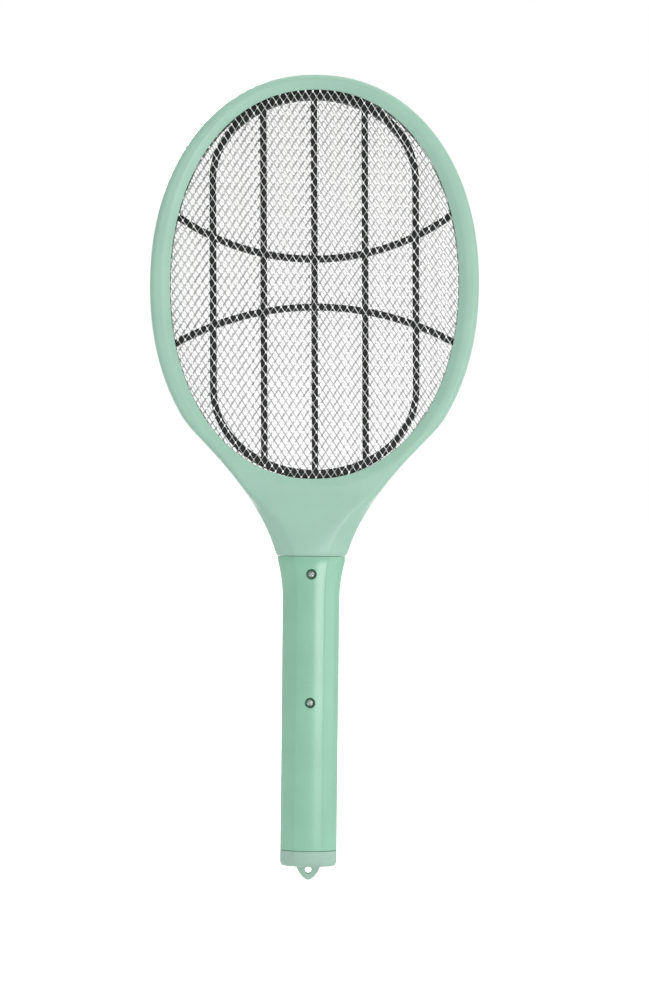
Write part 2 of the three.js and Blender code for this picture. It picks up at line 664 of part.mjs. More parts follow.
function slideSwitchBody() {
  const { halfWidth, halfLength, topY, leverHalf, leverBottomY } = SLIDE_SWITCH;
  const middle = SLIDER.z + SLIDER.travel / 2;
  const half = SLIDER.travel / 2 + leverHalf + SLIDER.margin;
  const can = box(
    -halfWidth, halfWidth, BOARD.frontY + GAP, topY, middle - halfLength, middle + halfLength,
  );
  const slot = box(
    -leverHalf - GAP, leverHalf + GAP, leverBottomY - GAP, topY + PAST, middle - half, middle + half,
  );
  return cut(can, slot);
}

function slideSwitchLever() {
  const { leverHalf, leverTopY, leverBottomY } = SLIDE_SWITCH;
  return box(
    -leverHalf, leverHalf, leverBottomY, leverTopY, SLIDER.z - leverHalf, SLIDER.z + leverHalf,
  );
}

function powerSwitchKnob() {
  const { z, halfWidth, halfLength, topY } = SLIDER;
  const { stem, footHalfWidth, footHalfLength, footHeight } = KNOB;
  const gripTopY = topY - RIDGES.height;
  const middleY = (TRAY_Y + gripTopY) / 2;
  const grip = box(-halfWidth, halfWidth, TRAY_Y + GAP, gripTopY, z - halfLength, z + halfLength);
  const ridgeHalfWidth = halfWidth - RIDGES.inset;
  const ridges = Array.from({ length: RIDGES.count }, (_, i) => {
    const middle = z + (i - (RIDGES.count - 1) / 2) * RIDGES.pitch;
    return box(
      -ridgeHalfWidth, ridgeHalfWidth, middleY, topY, middle - RIDGES.half, middle + RIDGES.half,
    );
  });
  const neck = box(-stem, stem, SLIDE_SWITCH.leverTopY + GAP, middleY, z - stem, z + stem);
  const footTopY = HANDLE.halfDepth - HANDLE.wall - SLIDER.margin;
  const foot = box(
    -footHalfWidth, footHalfWidth, footTopY - footHeight, footTopY, z - footHalfLength, z + footHalfLength,
  );
  return join(grip, neck, foot, ...ridges);
}

function indicatorLed() {
  const { radius, rimRadius, rimHeight, length, topY, z } = LED;
  const seatY = topY - length;
  const domeY = length - radius;
  const profile = [
    [0, 0], [rimRadius, 0], [rimRadius, rimHeight], [radius, rimHeight], [radius, domeY],
  ];
  const steps = 4;
  for (let step = 1; step < steps; step += 1) {
    const angle = (Math.PI / 2) * (step / steps);
    profile.push([radius * Math.cos(angle), domeY + radius * Math.sin(angle)]);
  }
  profile.push([0, length]);
  const geometry = new THREE.LatheGeometry(profile.map(([r, y]) => new THREE.Vector2(r, y)), 16);
  geometry.translate(0, seatY, z);
  const half = LED.leg / 2;
  const legs = [-LED.legSpacing / 2, LED.legSpacing / 2].map((x) => (
    box(x - half, x + half, BOARD.frontY + GAP, seatY + half, z - half, z + half)
  ));
  return join(solid(geometry), ...legs);
}

// ---- electronics ---------------------------------------------------------------------------------
const BOARD_REAR_Y = BOARD.rearY - GAP; // where parts on the board's rear face start
const TRANSFORMER = {
  z: 52, halfWidth: 7.5, halfLength: 6.5, rearY: -7.8, frontY: -3.8, limbHalfWidth: 1.8,
};
const COIL = { halfWidth: 4.9, halfLength: 3.4, rearY: -10.1, frontY: -1.5 };
const OUTPUT_CAPACITOR = { halfWidth: 7.5, rearY: -8.6, bottomZ: 33.5, topZ: 41 };
const MULTIPLIER = { radius: 3.4, x: 4.6, rearY: -4.4, z: 28.6 };
const DIODE = { radius: 1.3, length: 4.8, pitch: 7, y: -2.2, z: 23 };
const RESISTOR = { radius: 1.1, length: 6, x: 6, y: 2.4, z: 50.5 };
const TRANSISTOR = { radius: 2.4, length: 5, z: 19, standOff: 0.9, flatAngle: Math.PI / 2 };

// A cylinder along the X axis.
function barrel({ radius, length, y, z }, x, sides = 14) {
  const geometry = new THREE.CylinderGeometry(radius, radius, length, sides);
  geometry.rotateZ(Math.PI / 2);
  geometry.translate(x, y, z);
  return solid(geometry);
}

// The core's frame, with a window on each side of the limb that carries the coil.
function transformerCore() {
  const { z, halfWidth, halfLength, rearY, frontY, limbHalfWidth } = TRANSFORMER;
  const frame = box(-halfWidth, halfWidth, rearY, frontY, z - halfLength, z + halfLength);
  const windows = [-1, 1].map((way) => {
    const [x0, x1] = [way * limbHalfWidth, way * (COIL.halfWidth + GAP)].sort((a, b) => a - b);
    const half = COIL.halfLength + GAP;
    return box(x0, x1, rearY - PAST, frontY + PAST, z - half, z + half);
  });
  return cut(frame, ...windows);
}

function transformerWinding() {
  const { z, rearY, frontY, limbHalfWidth } = TRANSFORMER;
  const { halfWidth, halfLength } = COIL;
  const outer = box(-halfWidth, halfWidth, COIL.rearY, COIL.frontY, z - halfLength, z + halfLength);
  const inside = limbHalfWidth + GAP;
  const reach = halfLength + PAST;
  return cut(outer, box(-inside, inside, rearY - GAP, frontY + GAP, z - reach, z + reach));
}

// A can with one flat side, standing on the board's rear face.
function transistor() {
  const { radius, length, z, standOff, flatAngle } = TRANSISTOR;
  const shape = new THREE.Shape();
  shape.absarc(0, 0, radius, -flatAngle, Math.PI, false);
  shape.closePath();
  const geometry = new THREE.ExtrudeGeometry(shape, {
    depth: length, bevelEnabled: false, curveSegments: 12,
  });
  geometry.rotateX(Math.PI / 2);
  geometry.translate(0, BOARD_REAR_Y - standOff, z);
  return solid(geometry);
}

// ---- battery compartment ---------------------------------------------------------------------------
// An AA cell; up is +1 with its positive end towards the head.
function cell(up) {
  const { radius, edge, length, nubRadius, nub } = CELL;
  const body = length - nub;
  const profile = [
    [0, 0], [radius - edge, 0], [radius, edge], [radius, body - edge], [radius - edge, body],
    [nubRadius, body], [nubRadius, length], [0, length],
  ].map(([r, along]) => new THREE.Vector2(r, along));
  const geometry = new THREE.LatheGeometry(profile, 22);
  geometry.rotateX(Math.PI / 2);
  if (up < 0) {
    geometry.rotateX(Math.PI);
    geometry.translate(0, 0, length);
  }
  geometry.translate(-up * CELL.x, 0, CELL.bottomZ);
  return geometry;
}

function contactCarrier() {
  const inset = HANDLE.wall + GAP;
  const top = CARRIER.bottomZ + CARRIER.thickness;
  const plate = loft([handleRing(inset, CARRIER.bottomZ), handleRing(inset, top)], fanCap);
  const [slotHalf, slotDepth] = [CONTACT.tailHalfWidth + GAP, CONTACT.tailHalfDepth + GAP];
  const slots = [-CELL.x, CELL.x].map((x) => (
    box(x - slotHalf, x + slotHalf, -slotDepth, slotDepth, CARRIER.bottomZ - PAST, top + PAST)
  ));
  return cut(plate, ...slots);
}

// A stamped contact plate under the carrier, with a solder tail up through its slot.
function contactPlate(x) {
  const { halfWidth, halfDepth, thickness, tailHalfWidth, tailHalfDepth, tailRise } = CONTACT;
  const topZ = CARRIER.bottomZ - GAP;
  const tailTopZ = CARRIER.bottomZ + CARRIER.thickness + tailRise;
  const plate = box(x - halfWidth, x + halfWidth, -halfDepth, halfDepth, topZ - thickness, topZ);
  const tail = box(
    x - tailHalfWidth, x + tailHalfWidth, -tailHalfDepth, tailHalfDepth, topZ - thickness / 2, tailTopZ,
  );
  return join(plate, tail);
}

function positiveContact() {
  const tipZ = CELL.bottomZ + CELL.length + GAP;
  const plateZ = CARRIER.bottomZ - GAP - CONTACT.thickness / 2;
  return join(contactPlate(-CELL.x), cone(CUP.wide, CUP.narrow, -CELL.x, tipZ, plateZ));
}

// A cone along the Z axis from z0 to z1, with its top and bottom radius.
function cone(top, bottom, x, z0, z1) {
  const geometry = new THREE.CylinderGeometry(top, bottom, z1 - z0, 16);
  geometry.rotateX(Math.PI / 2);
  geometry.translate(x, 0, (z0 + z1) / 2);
  return solid(geometry);
}

class ConeCoil extends THREE.Curve {
  constructor(wide, narrow, length, turns) {
    super();
    Object.assign(this, { wide, narrow, length, turns });
  }

  getPoint(t, target = new THREE.Vector3()) {
    const angle = 2 * Math.PI * this.turns * t;
    const radius = THREE.MathUtils.lerp(this.wide, this.narrow, t);
    return target.set(radius * Math.cos(angle), radius * Math.sin(angle), this.length * t);
  }
}

// A round rod along a curve, with an even number of sides.
function rod(curve, radius, steps, sides = 8) {
  const section = new THREE.Shape();
  section.absarc(0, 0, radius, 0, 2 * Math.PI, false);
  return new THREE.ExtrudeGeometry(section, {
    steps,
    curveSegments: sides / 2, // an arc is drawn with twice as many
    bevelEnabled: false,
    extrudePath: curve,
  });
}

// A conical contact spring that narrows towards the cell; up +1 points to the head.
function contactSpring(x, baseZ, length, up) {
  const { wide, narrow, wire, turns } = SPRING;
  const geometry = rod(new ConeCoil(wide, narrow, length - 2 * wire, turns), wire, 32, 6);
  if (up < 0) geometry.rotateX(Math.PI);
  geometry.translate(x, 0, baseZ + up * wire);
  return geometry;
}

function bridgeContact() {
  const { halfWidth, stubTop, stubBase } = BRIDGE;
  const { halfDepth, thickness } = CONTACT;
  const plate = box(-halfWidth, halfWidth, -halfDepth, halfDepth, BRIDGE_Z, BRIDGE_Z + thickness);
  const stub = cone(stubTop, stubBase, CELL.x, BRIDGE_Z + thickness / 2, CELL.bottomZ - GAP);
  return join(plate, stub);
}

// ---- leads ----------------------------------------------------------------------------------------
const BOARD_END_Y = BOARD_REAR_Y - LEAD_RADIUS;
const STEP_LENGTH = 4.5;
const LEADS = [
  ['rear_guard_lead', 'blackWire', [
    [-5, BOARD_END_Y, 60], [-6, -2, 68], [-7.4, -1.8, 80], [-8, -2, 97], [-8.8, -3, 117], [-9, -3.5, 131],
  ]],
  ['centre_mesh_lead', 'redWire', [
    [0, BOARD_END_Y, 60], [1.6, -2, 67], [5.2, -2.2, 78], [5.4, -2.2, 90], [2, -1.6, 112], [0, -1.4, 131],
  ]],
  ['front_guard_lead', 'blackWire', [
    [5, BOARD_END_Y, 60], [6, -2, 68], [8.2, -0.6, 79], [8.6, 1, 97], [9, 2.8, 117], [9, 3.5, 131],
  ]],
  ['battery_lead_positive', 'redWire', [
    [-7.4, 1.5, -16.4], [-7.6, 3, -6], [-6.4, 3.4, 6], [-5.4, 2, 16],
  ]],
  ['battery_lead_negative', 'blackWire', [
    [7.4, 1.5, -16.4], [7.6, 3, -6], [6.4, 3.4, 6], [5.4, 2, 16],
  ]],
];

function lead(points) {
  const curve = new THREE.CatmullRomCurve3(points.map((p) => new THREE.Vector3(...p)));
  return rod(curve, LEAD_RADIUS, Math.round(curve.getLength() / STEP_LENGTH));
}

// ---- assembly -------------------------------------------------------------------------------------
const swatter = new THREE.Group();

function place(name, shape, finish) {
  const geometry = shape instanceof THREE.BufferGeometry ? shape : geometryOf(shape);
  const mesh = new THREE.Mesh(geometry, new THREE.MeshStandardMaterial(FINISH[finish]));
  mesh.name = name;
  swatter.add(mesh);
}

place('head_frame_rear', headFrame(-1), 'mint');
place('head_frame_front', headFrame(1), 'mint');
place('rear_guard_mesh', meshSheet(-GUARD_Y, -TAB.spacing), 'mesh');
place('centre_mesh', meshSheet(0, 0), 'mesh');
place('front_guard_mesh', meshSheet(GUARD_Y, TAB.spacing), 'mesh');
place('rear_spacer_grid', spacerGrid(-1), 'rib');
place('front_spacer_grid', spacerGrid(1), 'rib');

place('handle_rear_shell', handleShell(-1), 'mint');
place('handle_front_shell', handleShell(1), 'mint');
place('upper_handle_screw', handleScrew(SCREW.upperZ), 'steel');
place('lower_handle_screw', handleScrew(SCREW.lowerZ), 'steel');
place('end_cap', endCap(), 'paleMint');

place('trigger_button', triggerButton(), 'button');
place('push_switch_plunger', pushSwitchPlunger(), 'component');
place('push_switch_body', pushSwitchBody(), 'component');
place('power_switch_knob', powerSwitchKnob(), 'button');
place('slide_switch_lever', slideSwitchLever(), 'component');
place('slide_switch_body', slideSwitchBody(), 'steel');
place('indicator_led', indicatorLed(), 'lens');

place('circuit_board', box(
  -BOARD.halfWidth, BOARD.halfWidth, BOARD.rearY, BOARD.frontY, BOARD.bottomZ, BOARD.topZ,
), 'board');
place('transformer_core', transformerCore(), 'ferrite');
place('transformer_winding', transformerWinding(), 'winding');
place('output_capacitor', box(
  -OUTPUT_CAPACITOR.halfWidth, OUTPUT_CAPACITOR.halfWidth, OUTPUT_CAPACITOR.rearY, BOARD_REAR_Y,
  OUTPUT_CAPACITOR.bottomZ, OUTPUT_CAPACITOR.topZ,
), 'capacitor');
[-MULTIPLIER.x, MULTIPLIER.x].forEach((x, i) => {
  const can = post(MULTIPLIER.radius, x, MULTIPLIER.z, MULTIPLIER.rearY, BOARD_REAR_Y, 20);
  place(`multiplier_capacitor_${i + 1}`, can, 'capacitor');
});
[-DIODE.pitch, 0, DIODE.pitch].forEach((x, i) => {
  place(`rectifier_diode_${i + 1}`, barrel(DIODE, x), 'component');
});
place('oscillator_transistor', transistor(), 'component');
place('base_resistor', barrel(RESISTOR, -RESISTOR.x), 'component');
place('bleed_resistor', barrel(RESISTOR, RESISTOR.x), 'component');

place('contact_carrier', contactCarrier(), 'component');
place('positive_contact', positiveContact(), 'steel');
place('negative_contact', contactPlate(CELL.x), 'steel');
const carrierPlateZ = CARRIER.bottomZ - GAP - CONTACT.thickness;
const cellTopZ = CELL.bottomZ + CELL.length;
place('negative_spring', contactSpring(
  CELL.x, carrierPlateZ - GAP, carrierPlateZ - cellTopZ - 2 * GAP, -1,
), 'steel');
place('battery_left', cell(1), 'cell');
place('battery_right', cell(-1), 'cell');
place('bridge_contact', bridgeContact(), 'steel');
const bridgeTopZ = BRIDGE_Z + CONTACT.thickness;
place('bridge_spring', contactSpring(
  -CELL.x, bridgeTopZ + GAP, CELL.bottomZ - bridgeTopZ - 2 * GAP, 1,
), 'steel');

for (const [name, finish, points] of LEADS) place(name, lead(points), finish);

export default swatter;
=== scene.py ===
import json
import math

import bmesh
import bpy
from mathutils import Matrix, Vector


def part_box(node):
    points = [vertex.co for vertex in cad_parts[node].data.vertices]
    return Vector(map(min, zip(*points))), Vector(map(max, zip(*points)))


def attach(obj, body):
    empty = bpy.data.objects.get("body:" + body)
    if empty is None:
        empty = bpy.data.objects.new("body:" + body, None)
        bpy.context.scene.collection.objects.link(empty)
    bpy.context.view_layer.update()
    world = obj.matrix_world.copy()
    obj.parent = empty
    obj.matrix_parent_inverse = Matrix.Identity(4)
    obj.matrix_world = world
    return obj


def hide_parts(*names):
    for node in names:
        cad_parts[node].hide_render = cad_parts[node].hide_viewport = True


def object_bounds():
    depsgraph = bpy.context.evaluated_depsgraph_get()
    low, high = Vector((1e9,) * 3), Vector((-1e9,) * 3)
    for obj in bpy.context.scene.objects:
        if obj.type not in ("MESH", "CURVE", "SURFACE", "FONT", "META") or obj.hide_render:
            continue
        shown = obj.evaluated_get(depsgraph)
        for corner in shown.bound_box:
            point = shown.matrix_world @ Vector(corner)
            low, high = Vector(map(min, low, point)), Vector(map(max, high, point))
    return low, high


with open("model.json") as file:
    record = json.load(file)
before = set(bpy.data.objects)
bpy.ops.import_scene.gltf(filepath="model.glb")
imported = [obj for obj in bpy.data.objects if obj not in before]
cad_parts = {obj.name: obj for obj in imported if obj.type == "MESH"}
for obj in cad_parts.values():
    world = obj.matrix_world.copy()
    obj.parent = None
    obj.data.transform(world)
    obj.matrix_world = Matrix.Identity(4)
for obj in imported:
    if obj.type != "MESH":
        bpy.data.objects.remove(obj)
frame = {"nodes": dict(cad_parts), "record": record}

CAD_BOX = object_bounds()

# Lengths are millimetres until mesh_object() turns them into Blender's metres.
MM = 0.001


def box_mm(node):
    low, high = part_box(node)
    return low / MM, high / MM


# ---- sizes read from the frame, and those that go with them ----
HEAD_LOW, HEAD_HIGH = box_mm("head_frame_rear")
GRID_LOW, GRID_HIGH = box_mm("rear_spacer_grid")
CENTRE_LOW = box_mm("centre_mesh")[0]
SHELL_LOW, SHELL_HIGH = box_mm("handle_rear_shell")
CAP_LOW, CAP_HIGH = box_mm("end_cap")
BOARD_LOW, BOARD_HIGH = box_mm("circuit_board")
CARRIER_LOW, CARRIER_HIGH = box_mm("contact_carrier")
BUTTON_LOW, BUTTON_HIGH = box_mm("trigger_button")
KNOB_LOW, KNOB_HIGH = box_mm("power_switch_knob")
LED_LOW, LED_HIGH = box_mm("indicator_led")

SHEET_MARGIN = 4.1  # how far the grids reach under the ring's lip
HEAD_CENTRE_Z = (GRID_LOW.z + GRID_HIGH.z) / 2
OPENING_HALF_WIDTH = GRID_HIGH.x - SHEET_MARGIN
OPENING_HALF_HEIGHT = (GRID_HIGH.z - GRID_LOW.z) / 2 - SHEET_MARGIN
HEAD_HALF_WIDTH = HEAD_HIGH.x
HEAD_HALF_HEIGHT = HEAD_HIGH.z - HEAD_CENTRE_Z
PARTING = -HEAD_HIGH.y  # each half shell stops this far from the plane y = 0
GAP = 2 * PARTING
MATING_GAP = 0.04  # between the half shells' edges, which meet without daylight
HANDLE_HALF_DEPTH = -SHELL_LOW.y
HANDLE_HALF_WIDTH = CAP_HIGH.x
SEAM_EASE = 0.6  # how far the shells are drawn in at the seam between head and handle
EDGE_DROP, CROWN = 0.5, 1.2  # a broad face of the handle: how far its edges drop and its middle bulges
FACE_DEPTH = HANDLE_HALF_DEPTH - EDGE_DROP + CROWN
FACE_EDGE, FACE_NEXT = 0.508, 0.6  # insets, as shares of the half width, of its edge and its next point
INNER_SHARE = ((1 - FACE_NEXT) / (1 - FACE_EDGE)) ** 2  # share of the crown inside that point
SIDE_END = 0.353  # share of the depth at which the handle's upright side ends
SHOULDER = (0.14, 0.62)  # shares of the half width and the depth
SIDE_FILLET, FACE_FILLET, PARTING_CHAMFER, HOLE_CHAMFER = 3.0, 2.0, 0.22, 0.45
HANDLE_BOTTOM_Z = SHELL_LOW.z
SEAM_Z = SHELL_HIGH.z + PARTING
TONGUE_BOTTOM_Z = HEAD_LOW.z
CAP_RIM_Z = HANDLE_BOTTOM_Z - GAP
SCREW_HEIGHTS = {
    name: sum(corner.z for corner in box_mm(name)) / 2
    for name in ("upper_handle_screw", "lower_handle_screw")
}
UPPER_SCREW_Z, LOWER_SCREW_Z = SCREW_HEIGHTS.values()
TAB_HALF_WIDTH, TAB_SPACING, GUARD_Y = 3.0, 9.0, 4.9
BUTTON_FLANGE = 1.2
FLANGE_TRIM = 0.3  # keeps the flange's corners clear of the shell's inner facets
BUTTON_MOUTH_DEPTH, BUTTON_MOUTH_SPREAD = HANDLE_HALF_DEPTH - 0.3, 0.9  # its hole widens from there
BUTTON_Z = (BUTTON_LOW.z + BUTTON_HIGH.z) / 2
BUTTON_HALF_STRAIGHT = (BUTTON_HIGH.z - BUTTON_LOW.z) / 2 - BUTTON_HIGH.x
BUTTON_RADIUS = BUTTON_HIGH.x - BUTTON_FLANGE
KNOB_Z = (KNOB_LOW.z + KNOB_HIGH.z) / 2
KNOB_HALF_WIDTH, KNOB_HALF_LENGTH = KNOB_HIGH.x, (KNOB_HIGH.z - KNOB_LOW.z) / 2
KNOB_TRAVEL = 4.0
TRAY_DEPTH, TRAY_MARGIN, TRAY_Z = 0.8, 0.4, KNOB_Z + KNOB_TRAVEL / 2
SLOT_HALF_WIDTH, SLOT_END = 1.7, 1.6  # the slot ends this far past the stem's middle
LED_RADIUS, LED_Z = 2.5, (LED_LOW.z + LED_HIGH.z) / 2
CELL_RADIUS = 7.1
CELL_X = box_mm("battery_right")[1].x - CELL_RADIUS
LEAD_RADIUS = 0.8

# ---- sizes of the body ----
WALL = 2.0
RING_HALF_DEPTH = 8.5
RING_EDGE_RADIUS = 3.2
FULLNESS = 2.13  # exponent of the ovals of head and opening; 2 would be an ellipse
FLANK_START_Z = 174.0
FLANK_CONTROLS = ((67.9, 159.6), (17.2, 122.7))
STRAIGHT_TOP_Z = 66.0
BLEND_TOP_Z = 133.0  # below the mouth, so that the ring's inner slope clears the throat
LIP_DEPTH = 6.7  # where the ring's inner slope ends
SLOPE_WIDTH = 4.6
SLOPE = SLOPE_WIDTH / (RING_HALF_DEPTH - LIP_DEPTH)
# The mouth's two rounded edges: (depth past the lip's or the ring's face, distance outward).
LIP_EDGE = ((-0.55, 0), (-0.3, 0.07), (-0.08, 0.3), (0.1, 0.7))
SLOPE_EDGE = ((-0.3, -0.3 * SLOPE), (-0.12, 0), (0.02, 0.9), (1.2, 8))
SEAT_MARGIN, SEAT_DEPTH, SEAT_WALL = 4.5, 5.5, 1.5
TAB_ROOM_HALF_WIDTH, TAB_ROOM_TOP_Z = 14.0, 140.0
BAR_WIDTH, BAR_PITCH, GRID_RIM_INSET = 3.8, 30.4, 0.3
OUTER_BAR_SHARE, MIDDLE_BAR_SHARE = 0.93, 1.04  # of the oval's half height: the straight bars' reach
# The oval's ends are drawn wider than its bars. This dark band is partly the real spacer and partly
# painted shade, standing in for the shadow under the ring's inner edge above and below the opening.
OVAL_HALF_WIDTH, OVAL_STRAIGHT, OVAL_END_HEIGHT, OVAL_END_AND_SHADE_WIDTH = 60.8, 63.0, 50.8, 5.6
CURVED_BARS = ((1, 143.0, 15.4), (-1, 172.0, 13.4))  # way up, radius, offset from the centre
BARS_TURN = math.radians(-0.8)  # about Y: the bars sit a little askew in the rim
TONGUE_HALF_WIDTH, TONGUE_HALF_DEPTH, TONGUE_WALL = 14.4, 8.0, 1.8
BULKHEAD, TONGUE_OVERLAP = 2.2, 0.5
INNER_HALF_DEPTH = HANDLE_HALF_DEPTH - WALL
BOSS_RADIUS, BOSS_OVERLAP = 3.6, 1.0
SCREW_HOLE, RECESS_RADIUS, RECESS_FLOOR = 1.6, 3.1, 8.6
CARRIER_RIB, CARRIER_RIB_HALF_WIDTH, CARRIER_RIB_HEIGHT = 1.2, 6.0, 1.4
BOARD_POST_RADIUS, BOARD_POST_X, BOARD_POST_HEIGHTS = 1.6, 9.4, (15.0, 62.5)
BOARD_POST_END = INNER_HALF_DEPTH - 1.0  # within the wall, which slopes down towards the sides
CONTROLS_DEPTH = 5.0  # the openings for the controls are cut from this depth outward
CAP_BOTTOM_Z, CAP_FLOOR, SPIGOT_WALL = -92.7, 3.5, 1.6
CAP_ROUND_HEIGHT, CAP_ROUND_INSET, CAP_EDGE, SPIGOT_EDGE = 3.4, 2.6, 0.25, 0.5
EYE_HALF_WIDTH, EYE_HALF_THICKNESS, EYE_HOLE, EYE_Z = 7.6, 2.6, 2.0, -95.2
EYE_BASE_RISE, EYE_SHOULDER_DROP, EYE_TIP_HALF_WIDTH, EYE_TIP_RISE = 1.5, 1.5, 3.6, 0.6
EYE_FLARE, EYE_FLARE_DEPTH = 1.4, 0.4
PAST = 1.0  # how far a cutting tool reaches past what it cuts
REACH = 40.0  # further than any wall of the handle from the parting plane
HAIR = 0.02  # keeps two faces from lying in one plane


# ---- mesh tools ----
def place_object(name, data):
    made = bpy.data.objects.new(name, data)
    bpy.context.scene.collection.objects.link(made)
    return made


def mesh_object(name, points, faces):
    """A mesh of points in millimetres, its faces turned outward."""
    data = bpy.data.meshes.new(name)
    data.from_pydata([Vector(p) * MM for p in points], [], faces)
    work = bmesh.new()
    work.from_mesh(data)
    bmesh.ops.recalc_face_normals(work, faces=work.faces)
    work.to_mesh(data)
    work.free()
    return place_object(name, data)


def loft(name, rings):
    """A closed solid through rings of equally many points, with a flat face on each end."""
    count = len(rings[0])
    faces = []
    for k in range(len(rings) - 1):
        for i in range(count):
            j = (i + 1) % count
            faces.append((k * count + i, k * count + j, (k + 1) * count + j, (k + 1) * count + i))
    faces.append(tuple(reversed(range(count))))
    faces.append(tuple(range((len(rings) - 1) * count, len(rings) * count)))
    return mesh_object(name, [p for ring in rings for p in ring], faces)


def combine(target, tools, operation):
    """Cuts the tools from the target, joins them to it or keeps what they share, and drops them."""
    for tool in tools:
        step = target.modifiers.new("boolean", "BOOLEAN")
        step.operation = operation
        step.solver = "MANIFOLD"
        step.object = tool
    apply_modifiers(target)
    for tool in tools:
        bpy.data.objects.remove(tool)
    return target


def cut(target, *tools):
    return combine(target, tools, "DIFFERENCE")


def join(target, *tools):
    return combine(target, tools, "UNION")


def apply_modifiers(piece):
    graph = bpy.context.evaluated_depsgraph_get()
    made = bpy.data.meshes.new_from_object(piece.evaluated_get(graph))
    piece.modifiers.clear()
    piece.data = made


def shade(piece, degrees=32):
    """Smooth shading, with the edges sharper than this angle kept crisp."""
    piece.data.shade_smooth()
    piece.data.set_sharp_from_angle(angle=math.radians(degrees))
    return piece


def add_bevel(piece, width, segments=2, degrees=40):
    step = piece.modifiers.new("bevel", "BEVEL")
    step.width = width * MM
    step.segments = segments
    step.limit_method = "ANGLE"
    step.angle_limit = math.radians(degrees)


def bevel(piece, width, segments=2):
    add_bevel(piece, width, segments)
    apply_modifiers(piece)
    return piece


def lathe(name, profile, sides=48):
    """A solid of revolution about the Y axis: profile is [(radius, y)], from axis to axis."""
    points, rings = [], []
    for radius, y in profile:
        if radius == 0:
            rings.append([len(points)])
            points.append((0, y, 0))
            continue
        rings.append(list(range(len(points), len(points) + sides)))
        for i in range(sides):
            angle = 2 * math.pi * i / sides
            points.append((radius * math.cos(angle), y, radius * math.sin(angle)))
    faces = []
    for low, high in zip(rings, rings[1:]):
        for i in range(sides):
            j = (i + 1) % sides
            quad = (low[i % len(low)], low[j % len(low)], high[j % len(high)], high[i % len(high)])
            faces.append(tuple(dict.fromkeys(quad)))
    return mesh_object(name, points, faces)


def shift(piece, x=0.0, y=0.0, z=0.0):
    piece.data.transform(Matrix.Translation(Vector((x, y, z)) * MM))
    return piece


def block(name, low, high):
    (x0, y0, z0), (x1, y1, z1) = low, high
    ring = [(x0, y0), (x1, y0), (x1, y1), (x0, y1)]
    return loft(name, [[(x, y, z) for x, y in ring] for z in (z0, z1)])


def side_block(side, half_width, depths, heights):
    """A block centred on x = 0, between two depths on one side of the part."""
    y0, y1 = sorted(side * d for d in depths)
    return block("tool", (-half_width, y0, heights[0]), (half_width, y1, heights[1]))


def side_post(side, radius, depths, x, z, sides=40):
    y0, y1 = sorted(side * d for d in depths)
    return shift(lathe("tool", [(0, y0), (radius, y0), (radius, y1), (0, y1)], sides), x=x, z=z)


# ---- the outline and the section of the whole body ----
def smooth(t):
    t = min(max(t, 0.0), 1.0)
    return t * t * (3 - 2 * t)


def mix(a, b, share):
    return a + (b - a) * share


def quarter_turn(steps):
    return [math.pi / 2 * k / steps for k in range(steps + 1)]


def handle_share(z):
    """1 at the handle's seam, 0 where the ring proper begins."""
    return 1 - smooth((z - SEAM_Z) / (BLEND_TOP_Z - SEAM_Z))


def oval_point(half_width, half_height, angle):
    """A point (x, z) of an oval round the head's centre; angle 0 is its right-hand side."""
    across, up = (
        math.copysign(abs(part) ** (2 / FULLNESS), part) for part in (math.cos(angle), math.sin(angle))
    )
    return half_width * across, HEAD_CENTRE_Z + half_height * up


def head_angle(z):
    """The angle at which the head's oval has height z."""
    rise = (z - HEAD_CENTRE_Z) / HEAD_HALF_HEIGHT
    return math.asin(math.copysign(abs(rise) ** (FULLNESS / 2), rise))


def cubic(points, t):
    weights = [(1 - t) ** 3, 3 * t * (1 - t) ** 2, 3 * t * t * (1 - t), t**3]
    return tuple(sum(w * p[axis] for w, p in zip(weights, points)) for axis in (0, 1))


def flank_point(t):
    """The throat's flank, from the ring at t = 0 down to the handle at t = 1."""
    start = oval_point(HEAD_HALF_WIDTH, HEAD_HALF_HEIGHT, head_angle(FLANK_START_Z))
    return cubic([start, *FLANK_CONTROLS, (HANDLE_HALF_WIDTH, STRAIGHT_TOP_Z)], t)


def body_half_width(z):
    if z <= STRAIGHT_TOP_Z:
        return HANDLE_HALF_WIDTH
    low, high = 0.0, 1.0
    for _ in range(40):
        middle = (low + high) / 2
        if flank_point(middle)[1] > z:
            low = middle
        else:
            high = middle
    return flank_point(low)[0]


def body_half_depth(z):
    return mix(RING_HALF_DEPTH, HANDLE_HALF_DEPTH, handle_share(z))


def head_outline(bottom, flank_steps, ring_steps):
    """Right-hand half of the head's outline, (x, z), from height bottom up to the tip."""
    points = []
    for i in range(flank_steps):
        z = mix(bottom, FLANK_START_Z, i / flank_steps)
        points.append((body_half_width(z), z))
    start = head_angle(FLANK_START_Z)
    end = math.pi / 2 - 0.0005  # stops just short, so that no row closes to a point
    for i in range(ring_steps + 1):
        angle = mix(start, end, i / ring_steps)
        points.append(oval_point(HEAD_HALF_WIDTH, HEAD_HALF_HEIGHT, angle))
    return points


def outward_normals(outline):
    normals = []
    for i, (_, z) in enumerate(outline):
        before, after = outline[max(i - 1, 0)], outline[min(i + 1, len(outline) - 1)]
        along = (Vector(after) - Vector(before)).normalized()
        across = Vector((along.y, -along.x)).lerp(Vector((1, 0)), handle_share(z))
        normals.append(across.normalized())
    return normals


